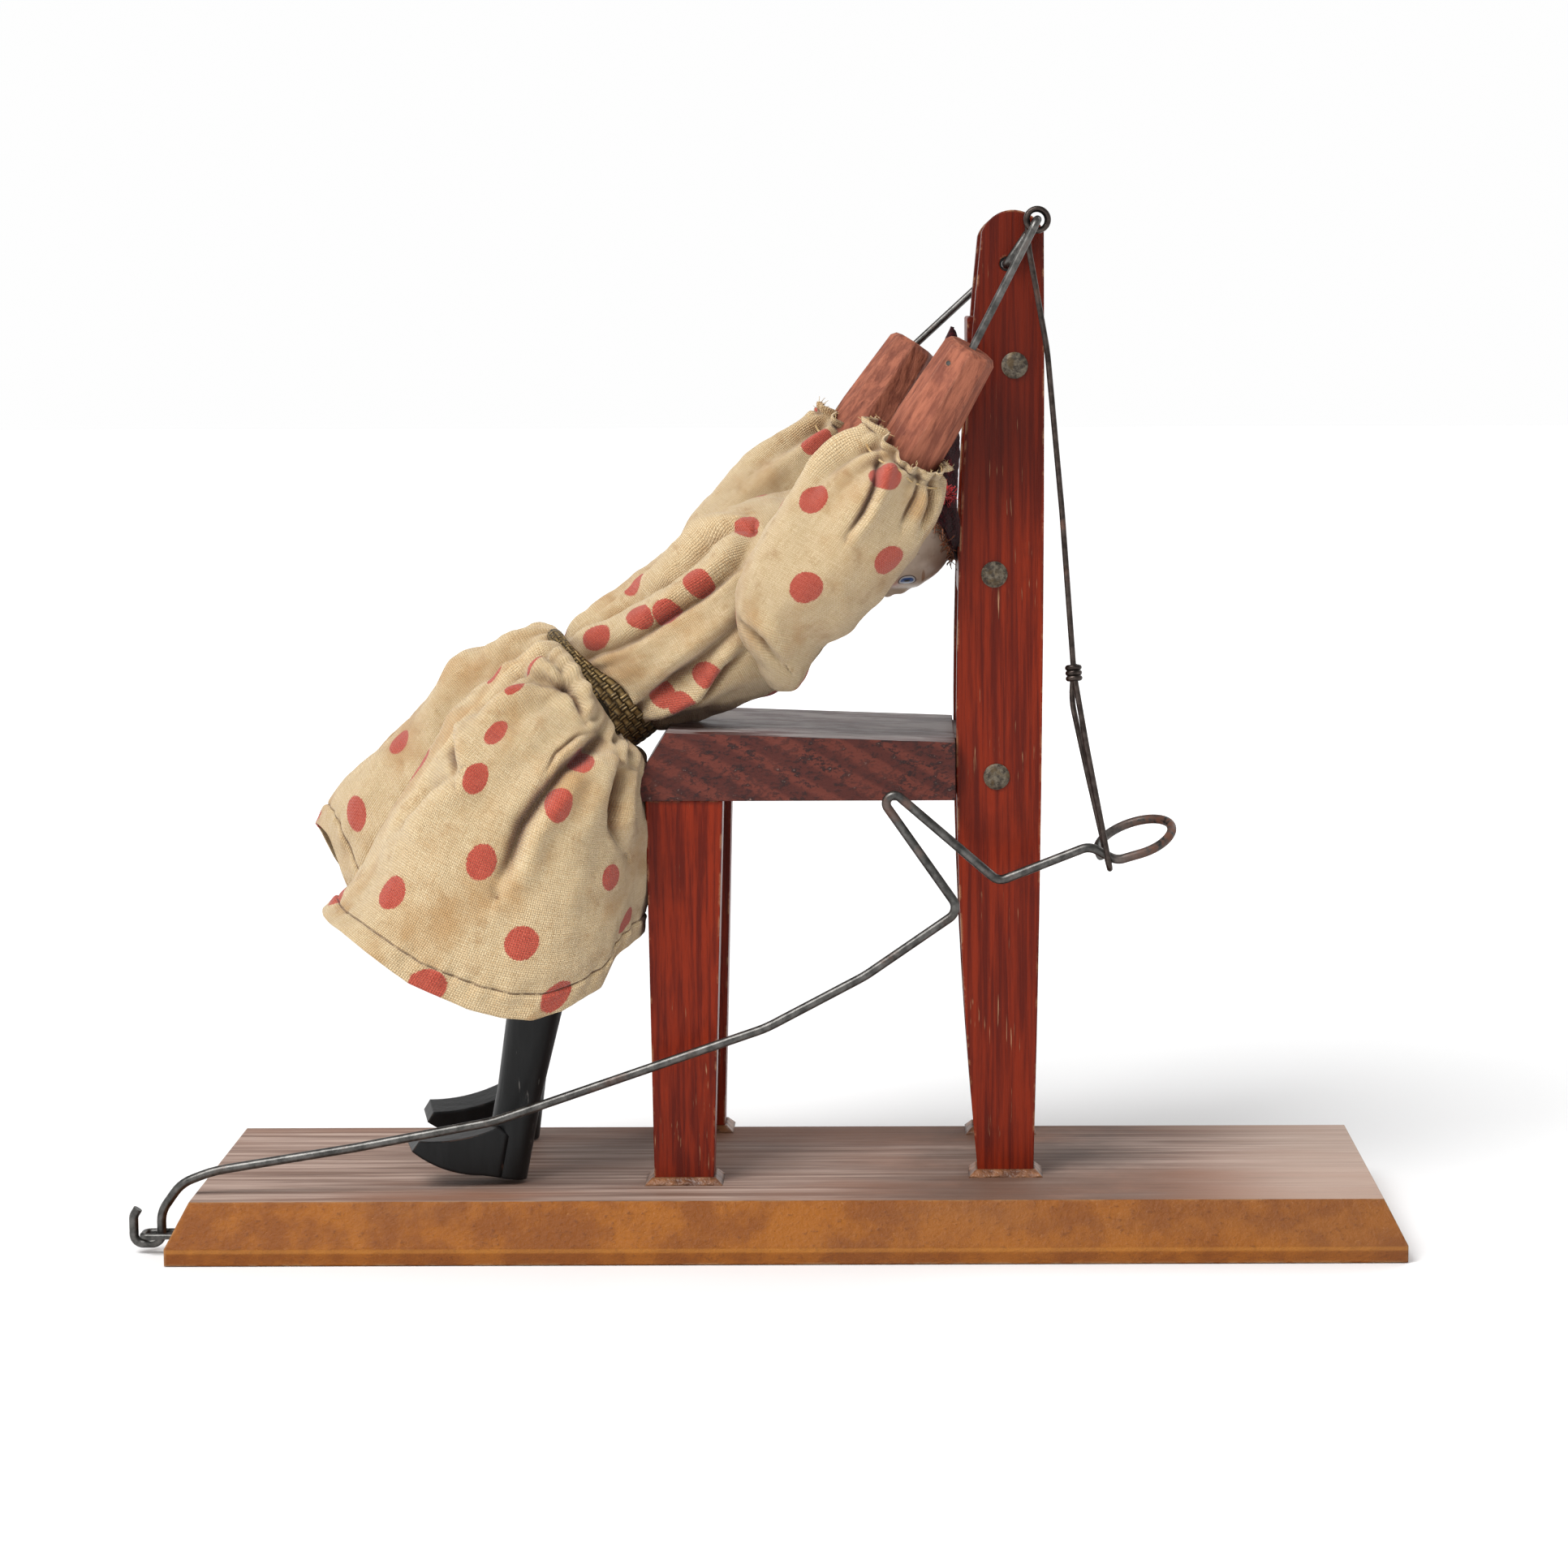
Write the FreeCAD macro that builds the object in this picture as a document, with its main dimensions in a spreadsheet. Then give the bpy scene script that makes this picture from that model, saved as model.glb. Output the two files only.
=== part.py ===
import FreeCAD, Part
import math
import os
import re
import Sketcher
from FreeCAD import Matrix, Placement, Rotation, Vector

# Lever-worked wooden acrobat on a chair, in millimetres.
# Origin: centre of the underside of the base board. +X along the board towards the chair's back,
# +Y across it, +Z up. A pull on the finger ring turns a wire crank on the chair's back, and the
# doll, whose arms are the crank's grips, swings up into a handstand.

SIZES = {
    # base board
    "base_length": 280.0,
    "base_width": 92.0,
    "base_height": 13.5,
    "base_edge_height": 3.8,
    "base_bevel_run": 5.0,
    # the two back posts: leg and upright in one piece
    "post_thickness": 8.0,
    "post_gap": 40.4,
    "post_gap_middle": 12.5,
    "post_foot_front": 43.8,
    "post_foot_back": 56.6,
    "post_top_front": 44.8,
    "post_top_back": 58.8,
    "post_top_height": 230.5,
    "post_front_bow": 5.4,
    "post_back_bow": 0.9,
    "post_top_dome": 5.0,
    # front legs
    "leg_top_front": -32.2,
    "leg_top_back": -14.6,
    "leg_foot_front": -30.8,
    "leg_foot_back": -17.2,
    "leg_thickness": 9.0,
    "leg_splay": 3.5,
    "leg_set_in": 0.6,
    "tenon_length": 4.5,
    "joint_gap": 0.02,
    # seat plank
    "seat_nose_front": -34.0,
    "seat_nose_top": -27.4,
    "seat_back": 38.6,
    "seat_tongue_back": 56.0,
    "seat_bottom": 101.9,
    "seat_nose_height": 107.0,
    "seat_top_front": 117.6,
    "seat_top_back": 115.2,
    "seat_width": 62.0,
    # slats between the posts
    "upper_slat_bottom": 189.4,
    "upper_slat_top": 211.6,
    "upper_slat_front": 41.6,
    "middle_slat_bottom": 147.0,
    "middle_slat_top": 158.2,
    "middle_slat_front": 39.6,
    "slat_depth": 14.4,
    "slat_round": 0.6,
    # nails through the posts
    "nail_head_diameter": 6.0,
    "nail_head_rise": 1.2,
    "nail_diameter": 1.8,
    "nail_length": 18.0,
    "nail_hole_gap": 0.02,
    "upper_nail_back": 52.2,
    "upper_nail_height": 200.6,
    "middle_nail_back": 47.6,
    "middle_nail_height": 153.2,
    "seat_nail_back": 48.1,
    "seat_nail_height": 106.8,
    # glue beads round the feet
    "bead_width": 2.2,
    "bead_height": 1.6,
    "bead_top_width": 0.5,
    # wire crank
    "axle_back": 50.4,
    "axle_height": 223.4,
    "axle_hole_diameter": 3.3,
    "crank_wire_diameter": 1.8,
    "crank_bend": 2.2,
    "crank_radius": 11.73,
    "crank_angle": 55.8,
    "throw_gap": 1.4,
    "pin_length": 11.0,
    "far_throw_gap": 3.4,
    "grip_depth": 11.0,
    "grip_hole_gap": 0.02,
    "near_grip_back": 42.4,
    "near_grip_height": 204.6,
    "far_grip_back": 29.9,
    "far_grip_height": 204.7,
    # hand lever and its staple
    "lever_wire_diameter": 2.1,
    "lever_plane": -33.0,
    "lever_gentle_bend": 28.0,
    "ring_radius": 8.8,
    "ring_rise": 19.0,
    "ring_tilt": 18.0,
    "ring_middle_back": 79.3,
    "ring_middle_height": 93.5,
    "staple_wire_diameter": 1.4,
    "staple_reach": 6.8,
    "staple_height": 4.4,
    "staple_side_gap": 0.85,
    "staple_depth": 8.0,
    "staple_bend": 1.4,
    "staple_hole_gap": 0.04,
    "hook_gap": 0.4,
    # link wire from the crank pin to the lever
    "link_wire_diameter": 1.3,
    "link_coil_radius": 2.4,
    "link_coil_pitch": 1.2,
    "link_coil_turns": 5,
    "link_knot_radius": 1.25,
    "link_knot_turns": 3,
    "link_eye_side_gap": 0.35,
    "link_eye_drop": 3.1,
    "link_grip_back": 72.6,
    "link_grip_height": 90.9,
    # doll: place and lean of its shoulder line
    "doll_back": 6.3,
    "doll_side": 9.2,
    "doll_height": 157.8,
    "doll_yaw": 12.0,
    "doll_roll": 4.0,
    "shoulder_half": 31.0,
    "pin_diameter": 2.6,
    "pin_running_gap": 0.05,
    "pin_overhang": 1.0,
    # arms
    "arm_diameter": 13.6,
    "arm_end_diameter": 11.6,
    "arm_end_chamfer": 1.2,
    "arm_heel": 6.2,
    "arm_taper_length": 20.0,
    "arm_pin_diameter": 1.0,
    "arm_pin_length": 6.0,
    "arm_pin_setback": 5.6,
    "arm_pin_side": 3.0,
    # torso block
    "torso_length": 66.6,
    "torso_slope": 32.7,
    "torso_depth": 17.0,
    "torso_hip_depth": 13.0,
    "shoulder_block_half": 19.5,
    "hip_block_half": 9.4,
    "torso_shoulder_end": 7.0,
    "torso_hip_end": 6.5,
    # head and cap
    "head_ahead": 18.5,
    "head_drop": 8.0,
    "head_half_depth": 12.6,
    "head_half_height": 13.0,
    "head_half_width": 11.4,
    "neck_diameter": 9.0,
    "nose_rise": 1.6,
    "nose_radius": 2.0,
    # belt
    "belt_station": 60.0,
    "belt_offset": 1.2,
    "belt_lean": 7.5,
    "belt_half_depth": 15.0,
    "belt_half_width": 14.6,
    "belt_width": 6.4,
    "belt_wall": 1.2,
    "belt_gap": 0.15,
    # legs of the doll
    "hip_half": 17.4,
    "doll_leg_splay": 3.0,
    "near_leg_tilt": 10.9,
    "far_leg_tilt": 6.2,
    "doll_leg_diameter": 14.0,
    "doll_leg_top_diameter": 10.4,
    "doll_ankle_diameter": 10.4,
    "doll_ankle_height": 20.0,
    "heel_gap": 0.65,
    "shoe_length": 28.0,
    "shoe_width": 10.0,
    "shoe_height": 9.0,
    "shoe_toe_height": 2.6,
    "shoe_toe_rise": 3.2,
    "shoe_instep": 11.6,
    # cloth
    "cloth_gap": 0.4,
    "blouse_side_gap": 0.8,
    "trouser_fan_radius": 69.5,
    "trouser_turn": 9.0,
}

doc = FreeCAD.newDocument("chair_acrobat")
sheet = doc.addObject("Spreadsheet::Sheet", "Sizes")
for row, (size_name, size) in enumerate(SIZES.items(), 1):
    sheet.set("A%d" % row, size_name)
    sheet.set("B%d" % row, str(size))
    sheet.setAlias("B%d" % row, size_name)
doc.recompute()

nodes = {}


# ---------------------------------------------------------------- reading and binding the sheet
def cells(text):
    """An expression with each size name written as a cell of the sheet."""
    def cell(match):
        word = match.group()
        return "Sizes." + word if word in SIZES else word
    return re.sub(r"[a-z_]+", cell, str(text))


def value(text):
    """The number an expression of size names has."""
    return float(sheet.evalExpression(cells(text)))


def bind(thing, prop, text):
    thing.setExpression(prop, cells(text))


def keep(name, thing):
    """Name the object that makes one piece."""
    thing.Label = name
    nodes[name] = thing
    return thing


# ---------------------------------------------------------------- sketches and body features
def new_body(name, placement=None):
    body = doc.addObject("PartDesign::Body", name + "_body")
    if placement:
        body.Placement = placement
    return body


def new_sketch(body, name, role, offset):
    """A sketch on one origin plane of its body, moved along the plane's normal."""
    sketch = body.newObject("Sketcher::SketchObject", name)
    plane = [item for item in body.Origin.OriginFeatures if item.Role == role][0]
    sketch.AttachmentSupport = [(plane, "")]
    sketch.MapMode = "FlatFace"
    bind(sketch, ".AttachmentOffset.Base.z", offset)
    return sketch


def place_point(sketch, geometry, end, x_text, y_text):
    for kind, text in (("DistanceX", x_text), ("DistanceY", y_text)):
        number = sketch.addConstraint(Sketcher.Constraint(kind, -1, 1, geometry, end, value(text)))
        bind(sketch, "Constraints[%d]" % number, text)


def bowed_edge(start, finish, bow):
    """A counter-clockwise arc between two points, and whether it starts at the first."""
    chord = finish - start
    left = Vector(-chord.y, chord.x, 0).normalize()
    radius = (chord.Length ** 2 / 4 + bow ** 2) / (2 * abs(bow))
    centre = (start + finish) * 0.5 + left * (bow - math.copysign(radius, bow))
    forward = bow < 0
    first, last = (start, finish) if forward else (finish, start)
    angles = [math.atan2(p.y - centre.y, p.x - centre.x) for p in (first, last)]
    circle = Part.Circle(centre, Vector(0, 0, 1), radius)
    return Part.ArcOfCircle(circle, angles[0], angles[1]), forward


def outline(body, name, role, corners, offset="0"):
    """A closed outline. A corner is (x, y) or, where the edge after it is an arc, (x, y, bow)."""
    sketch = new_sketch(body, name, role, offset)
    points = [Vector(value(corner[0]), value(corner[1]), 0) for corner in corners]
    ends = []
    for index, corner in enumerate(corners):
        start, finish = points[index], points[(index + 1) % len(points)]
        forward = True
        if len(corner) == 3:
            edge, forward = bowed_edge(start, finish, value(corner[2]))
        else:
            edge = Part.LineSegment(start, finish)
        sketch.addGeometry(edge, False)
        ends.append((1, 2) if forward else (2, 1))
    for index, corner in enumerate(corners):
        after = (index + 1) % len(corners)
        sketch.addConstraint(Sketcher.Constraint("Coincident", index, ends[index][1],
                                                 after, ends[after][0]))
        place_point(sketch, index, ends[index][0], corner[0], corner[1])
        if len(corner) == 3:
            run = "((%s)-(%s))^2+((%s)-(%s))^2" % (corners[after][0], corner[0],
                                                   corners[after][1], corner[1])
            radius = "((%s)/4+(%s)^2)/(2*abs(%s))" % (run, corner[2], corner[2])
            number = sketch.addConstraint(Sketcher.Constraint("Radius", index, value(radius)))
            bind(sketch, "Constraints[%d]" % number, radius)
    return sketch


def circles(body, name, role, rounds, offset="0"):
    """Circles, each (x, y, diameter)."""
    sketch = new_sketch(body, name, role, offset)
    for index, (x_text, y_text, diameter) in enumerate(rounds):
        centre = Vector(value(x_text), value(y_text), 0)
        radius = value("(%s)/2" % diameter)
        sketch.addGeometry(Part.Circle(centre, Vector(0, 0, 1), radius), False)
        place_point(sketch, index, 3, x_text, y_text)
        number = sketch.addConstraint(Sketcher.Constraint("Diameter", index, 2 * radius))
        bind(sketch, "Constraints[%d]" % number, diameter)
    return sketch


def box_corners(x_low, x_high, y_low, y_high):
    return [(x_low, y_low), (x_high, y_low), (x_high, y_high), (x_low, y_high)]


def pad(body, sketch, length, middle=False, back=False):
    feature = body.newObject("PartDesign::Pad", sketch.Name + "_pad")
    feature.Profile = sketch
    feature.Midplane = middle
    feature.Reversed = back
    bind(feature, "Length", length)
    doc.recompute()
    return feature


def pocket(body, sketch, length):
    """A pocket on the side of the sketch where the solid lies."""
    before = body.Shape.Volume
    feature = body.newObject("PartDesign::Pocket", sketch.Name + "_pocket")
    feature.Profile = sketch
    bind(feature, "Length", length)
    doc.recompute()
    if body.Shape.Volume > before - 1e-3:
        feature.Reversed = True
        doc.recompute()
    if body.Shape.Volume > before - 1e-3:
        raise ValueError("no material in front of " + sketch.Name)
    return feature


def loft(body, name, sketches):
    feature = body.newObject("PartDesign::AdditiveLoft", name)
    feature.Profile = sketches[0]
    feature.Sections = sketches[1:]
    feature.Ruled = True
    doc.recompute()
    return feature


# ---------------------------------------------------------------- Part objects
def cylinder(name, diameter, length, placement):
    rod = doc.addObject("Part::Cylinder", name)
    bind(rod, "Radius", "(%s)/2" % diameter)
    bind(rod, "Height", length)
    rod.Placement = placement
    return rod


def ellipsoid(name, radii, placement):
    ball = doc.addObject("Part::Ellipsoid", name)
    for prop, text in zip(("Radius2", "Radius3", "Radius1"), radii):
        bind(ball, prop, text)
    ball.Placement = placement
    return ball


def cut(name, base, *tools):
    """The base with each tool taken out of it in turn."""
    for number, tool in enumerate(tools):
        feature = doc.addObject("Part::Cut", "%s_%d" % (name, number))
        feature.Base = base
        feature.Tool = tool
        base = feature
    return base


def fuse(name, *shapes):
    feature = doc.addObject("Part::MultiFuse", name)
    feature.Shapes = list(shapes)
    return feature


def common(name, first, second):
    feature = doc.addObject("Part::MultiCommon", name)
    feature.Shapes = [first, second]
    return feature


def group(name, items):
    feature = doc.addObject("Part::Compound", name)
    feature.Links = items
    return feature


def fixed(name, shape):
    feature = doc.addObject("Part::Feature", name)
    feature.Shape = shape
    return feature


def along(start, direction):
    """A placement at a point with +Z along a direction."""
    return Placement(start, Rotation(Vector(0, 0, 1), direction))


def bent_wire(name, diameter, route):
    """A round wire along straight runs joined by tangent arcs. Route: (corner, bend radius)."""
    edges = []
    length = 0.0
    here = route[0][0]
    for index in range(1, len(route) - 1):
        corner, bend = route[index]
        before, after = route[index - 1][0] - corner, route[index + 1][0] - corner
        # an end run belongs to one bend, the others are shared by two
        room = min(before.Length * (0.97 if index == 1 else 0.49),
                   after.Length * (0.97 if index == len(route) - 2 else 0.49))
        to_here = before.normalize()
        to_next = after.normalize()
        half_turn = (math.pi - to_here.getAngle(to_next)) / 2
        setback = min(bend * math.tan(half_turn), room)
        radius = setback / math.tan(half_turn)
        start = corner + to_here * setback
        finish = corner + to_next * setback
        middle = corner + (to_here + to_next).normalize() * (radius / math.cos(half_turn) - radius)
        if (start - here).Length > 1e-4:
            edges.append(Part.LineSegment(here, start).toShape())
            length += (start - here).Length
        edges.append(Part.Arc(start, middle, finish).toShape())
        length += edges[-1].Length
        here = finish
    edges.append(Part.LineSegment(here, route[-1][0]).toShape())
    length += edges[-1].Length
    spine = Part.Wire(edges)
    ring = Part.Wire(Part.makeCircle(diameter / 2, route[0][0], route[1][0] - route[0][0]))
    shape = spine.makePipeShell([ring], True, False)
    expected = math.pi * diameter ** 2 / 4 * length
    if abs(shape.Volume / expected - 1) > 0.01:
        raise ValueError("%s: volume %.2f, not %.2f" % (name, shape.Volume, expected))
    return fixed(name, shape)


# ---------------------------------------------------------------- stand
near_face = "(post_gap_middle-post_gap/2-post_thickness)"
near_inner = "(post_gap_middle-post_gap/2)"
far_inner = "(post_gap_middle+post_gap/2)"
far_face = "(post_gap_middle+post_gap/2+post_thickness)"
seat_near = "(post_gap_middle-1.9-seat_width/2)"
NAILS = (("upper_nail_back", "upper_nail_height"), ("middle_nail_back", "middle_nail_height"),
         ("seat_nail_back", "seat_nail_height"))
nail_hole = "nail_diameter+2*nail_hole_gap"

# the feet: near and far post, near and far front leg, each (x low, x high, y low, y high)
near_foot_side = "(post_gap_middle-1.9-seat_width/2+leg_set_in-leg_splay)"
far_foot_side = "(post_gap_middle-1.9+seat_width/2-leg_set_in+leg_splay)"
FEET = {
    "near_back_post": ("post_foot_front", "post_foot_back", near_face, near_inner),
    "far_back_post": ("post_foot_front", "post_foot_back", far_inner, far_face),
    "near_front_leg": ("leg_foot_front", "leg_foot_back", near_foot_side,
                       near_foot_side + "+leg_thickness"),
    "far_front_leg": ("leg_foot_front", "leg_foot_back", far_foot_side + "-leg_thickness",
                      far_foot_side),
}


def make_base_board():
    body = new_body("base_board")
    half_x, half_y = "base_length/2", "base_width/2"
    corners = box_corners("-" + half_x, half_x, "-" + half_y, half_y)
    pad(body, outline(body, "base_edge", "XY_Plane", corners), "base_edge_height")
    top = outline(body, "base_slope", "XY_Plane", corners, "base_edge_height")
    slope = pad(body, top, "base_height-base_edge_height")
    bind(slope, "TaperAngle", "-atan(base_bevel_run/(base_height-base_edge_height))")
    for name, (x_low, x_high, y_low, y_high) in FEET.items():
        mortise = box_corners(x_low + "-joint_gap", x_high + "+joint_gap",
                              y_low + "-joint_gap", y_high + "+joint_gap")
        pocket(body, outline(body, name + "_mortise", "XY_Plane", mortise, "base_height"),
               "tenon_length")
    prong = "(lever_wire_diameter/2+staple_side_gap+staple_wire_diameter/2)"
    hole = "staple_wire_diameter+2*staple_hole_gap"
    sides = [("lever_plane-" + prong, "staple_height", hole),
             ("lever_plane+" + prong, "staple_height", hole)]
    pocket(body, circles(body, "staple_holes", "YZ_Plane", sides, "-base_length/2"), "staple_depth")
    keep("base_board", body)


def make_back_post(name, outer):
    body = new_body(name)
    floor = "base_height-tenon_length"
    corners = [
        ("post_foot_front", floor),
        ("post_foot_back", floor),
        ("post_foot_back", "base_height", "-post_back_bow"),
        ("post_top_back", "post_top_height", "-post_top_dome"),
        ("post_top_front", "post_top_height", "-post_front_bow"),
        ("post_foot_front", "base_height"),
    ]
    # the plane's normal points to -Y
    face = "-" + outer
    pad(body, outline(body, name + "_side", "XZ_Plane", corners, face), "post_thickness", back=True)
    holes = [("axle_back", "axle_height", "axle_hole_diameter")]
    holes += [(back, height, nail_hole) for back, height in NAILS]
    pocket(body, circles(body, name + "_holes", "XZ_Plane", holes, face), "post_thickness")
    keep(name, body)


def make_front_leg(name, side):
    """A tapered leg that leans out to its foot. Side is -1 near, 1 far."""
    body = new_body(name)
    x_low, x_high, y_low, y_high = FEET[name]
    foot = box_corners(x_low, x_high, y_low, y_high)
    lean = "%+d*leg_splay" % -side
    top = box_corners("leg_top_front", "leg_top_back", y_low + lean, y_high + lean)
    pad(body, outline(body, name + "_tenon", "XY_Plane", foot, "base_height-tenon_length"),
        "tenon_length")
    foot_sketch = outline(body, name + "_foot", "XY_Plane", foot, "base_height")
    top_sketch = outline(body, name + "_top", "XY_Plane", top, "seat_bottom")
    loft(body, name + "_taper", [foot_sketch, top_sketch])
    keep(name, body)


def make_seat_board():
    body = new_body("seat_board")
    plank = [("seat_nose_front", "seat_bottom"), ("seat_back", "seat_bottom"),
             ("seat_back", "seat_top_back"), ("seat_nose_top", "seat_top_front"),
             ("seat_nose_front", "seat_nose_height")]
    pad(body, outline(body, "seat_side", "XZ_Plane", plank, "-" + seat_near), "seat_width", back=True)
    tongue = box_corners("seat_back-1", "seat_tongue_back", "seat_bottom", "seat_top_back-0.3")
    pad(body, outline(body, "seat_tongue", "XZ_Plane", tongue, "-%s-joint_gap" % near_inner),
        "post_gap-2*joint_gap", back=True)
    drill_slat_ends(body, "seat", *NAILS[2])
    keep("seat_board", body)


def drill_slat_ends(body, name, back, height):
    """The nail's hole in each end of a piece between the posts."""
    depth = "nail_length-post_thickness+0.3"
    hole = [(back, height, nail_hole)]
    near_end = "-%s-joint_gap" % near_inner
    far_end = "-%s+joint_gap" % far_inner
    pocket(body, circles(body, name + "_near_hole", "XZ_Plane", hole, near_end), depth)
    pocket(body, circles(body, name + "_far_hole", "XZ_Plane", hole, far_end), depth)


def make_back_slat(name, level, nail):
    body = new_body(name)
    front = level + "_slat_front"
    corners = box_corners(front, front + "+slat_depth", level + "_slat_bottom", level + "_slat_top")
    pad(body, outline(body, name + "_end", "XZ_Plane", corners, "-%s-joint_gap" % near_inner),
        "post_gap-2*joint_gap", back=True)
    long_edges = ["Edge%d" % number for number, edge in enumerate(body.Shape.Edges, 1)
                  if abs(edge.tangentAt(edge.FirstParameter).y) > 0.9]
    plank = body.Tip
    rounding = body.newObject("PartDesign::Fillet", name + "_round")
    rounding.Base = (plank, long_edges)
    bind(rounding, "Radius", "slat_round")
    doc.recompute()
    drill_slat_ends(body, name, *nail)
    keep(name, body)


def make_back_nails():
    nails = []
    for side, face in ((-1, near_face), (1, far_face)):
        for number, (back, height) in enumerate(NAILS):
            place = Vector(value(back), value(face), value(height))
            turn = Rotation(Vector(0, 0, 1), Vector(0, side, 0))
            body = new_body("nail_%d_%d" % (side, number), Placement(place, turn))
            half = "nail_head_diameter/2"
            profile = [("0", "-nail_length"), ("nail_diameter/2", "2-nail_length"),
                       ("nail_diameter/2", "0"), (half, "0"), (half, "0.3*nail_head_rise"),
                       (half + "*0.7", "0.8*nail_head_rise"), (half + "*0.3", "nail_head_rise"),
                       ("0", "nail_head_rise")]
            sketch = outline(body, body.Name + "_profile", "XZ_Plane", profile)
            turned = body.newObject("PartDesign::Revolution", body.Name + "_turned")
            turned.Profile = sketch
            turned.ReferenceAxis = (sketch, ["V_Axis"])
            turned.Angle = 360
            nails.append(body)
    keep("back_nails", group("nail_set", nails))


def make_glue_beads():
    """A low sloping bead of glue round each foot."""
    beads = []
    for name, (x_low, x_high, y_low, y_high) in FEET.items():
        wedge = doc.addObject("Part::Wedge", name + "_bead_form")
        sizes = {"Ymin": "0", "Ymax": "bead_height",
                 "Xmin": x_low + "-bead_width", "Xmax": x_high + "+bead_width",
                 "Zmin": "-(%s)-bead_width" % y_high, "Zmax": "-(%s)+bead_width" % y_low,
                 "X2min": x_low + "-bead_top_width", "X2max": x_high + "+bead_top_width",
                 "Z2min": "-(%s)-bead_top_width" % y_high, "Z2max": "-(%s)+bead_top_width" % y_low}
        for prop, text in sizes.items():
            bind(wedge, prop, text)
        wedge.Placement = Placement(Vector(0, 0, value("base_height")),
                                    Rotation(Vector(1, 0, 0), 90))
        beads.append(cut(name + "_bead", wedge, nodes[name]))
    keep("foot_glue_beads", group("bead_set", beads))


def make_lever_staple():
    half = value("lever_wire_diameter/2+staple_side_gap+staple_wire_diameter/2")
    plane = value("lever_plane")
    inside = value("staple_depth-base_length/2")
    outside = value("-base_length/2-staple_reach")
    height = value("staple_height")
    bend = value("staple_bend")
    route = [(Vector(inside, plane - half, height), 0), (Vector(outside, plane - half, height), bend),
             (Vector(outside, plane + half, height), bend), (Vector(inside, plane + half, height), 0)]
    keep("lever_staple", bent_wire("staple_wire", value("staple_wire_diameter"), route))


# ---------------------------------------------------------------- hand lever
def make_hand_lever():
    plane = value("lever_plane")
    gentle = value("lever_gentle_bend")
    # the hook turns round the staple's crossbar
    pivot = Vector(value("-base_length/2-staple_reach"), plane, value("staple_height"))
    low = value("(lever_wire_diameter+staple_wire_diameter)/2+hook_gap")
    hook = [(-1.2, 5.9, 0), (-low - 0.1, 4.2, 2.2), (-low - 0.1, -low, 2.1), (4.1, -low, 2.3),
            (4.1, 5.2, 7.0), (8.8, 11.8, 9.0), (16.2, 14.6, gentle)]
    route = [(pivot + Vector(x, 0, z), bend) for x, z, bend in hook]
    # the long arm, the sprung peak and the V-bend
    arm = [(-98.6, 24.2, gentle), (-66.7, 30.2, gentle), (-38.5, 39.9, gentle), (-4.6, 51.6, gentle),
           (17.9, 63.5, gentle), (39.5, 78.4, 3.0), (14.8, 113.8, 1.83), (48.1, 85.0, 3.0),
           (68.6, 93.0, 4.0), (74.8, 89.7, 4.0)]
    route += [(Vector(x, plane, z), bend) for x, z, bend in arm]
    # the finger ring: corners round a tilted circle
    radius = value("ring_radius")
    rise = math.radians(value("ring_rise"))
    tilt = math.radians(value("ring_tilt"))
    right = Vector(math.cos(rise), 0, math.sin(rise))
    normal = right.cross(Vector(0, math.cos(tilt), math.sin(tilt))).normalize()
    away = normal.cross(right)
    middle = Vector(value("ring_middle_back"), plane - away.y * -radius, value("ring_middle_height"))
    corner_radius = radius / math.cos(math.radians(22.5))
    for angle in (-67.5, -22.5, 22.5, 67.5, 112.5, 157.5):
        turn = math.radians(angle)
        corner = middle + (right * math.cos(turn) + away * math.sin(turn)) * corner_radius
        route.append((corner, radius))
    turn = math.radians(198)
    route.append((middle + (right * math.cos(turn) + away * math.sin(turn)) * radius * 1.02, 0))
    keep("hand_lever", bent_wire("lever_wire", value("lever_wire_diameter"), route))


# ---------------------------------------------------------------- crank and link
axle = Vector(value("axle_back"), 0, value("axle_height"))
pin_turn = math.radians(value("crank_angle"))
pin = axle + Vector(math.cos(pin_turn), 0, math.sin(pin_turn)) * value("crank_radius")
throw_side = value(near_face + "-throw_gap-crank_wire_diameter/2")
near_grip_side = throw_side - value("pin_length")
far_grip_side = value(far_face + "+far_throw_gap+crank_wire_diameter/2")
near_grip = Vector(value("near_grip_back"), near_grip_side, value("near_grip_height"))
far_grip = Vector(value("far_grip_back"), far_grip_side, value("far_grip_height"))


def at_side(point, side):
    return Vector(point.x, side, point.z)


near_pull = (near_grip - at_side(pin, near_grip_side)).normalize()
far_pull = (far_grip - at_side(axle, far_grip_side)).normalize()


def make_crank_wire():
    bend = value("crank_bend")
    depth = value("grip_depth")
    route = [(near_grip + near_pull * depth, 0), (at_side(pin, near_grip_side), bend),
             (at_side(pin, throw_side), bend), (at_side(axle, throw_side), bend),
             (at_side(axle, far_grip_side), bend), (far_grip + far_pull * depth, 0)]
    keep("crank_wire", bent_wire("crank_bent_wire", value("crank_wire_diameter"), route))


def wire_rings(name, centre, axis, radius, turns, thickness):
    """Close turns of wire, side by side along an axis."""
    rings = []
    pitch = value("link_coil_pitch")
    for number in range(int(turns)):
        ring = doc.addObject("Part::Torus", "%s_%d" % (name, number))
        bind(ring, "Radius1", radius)
        bind(ring, "Radius2", thickness)
        ring.Placement = along(centre + axis * (pitch * number), axis)
        rings.append(ring)
    return rings


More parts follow.
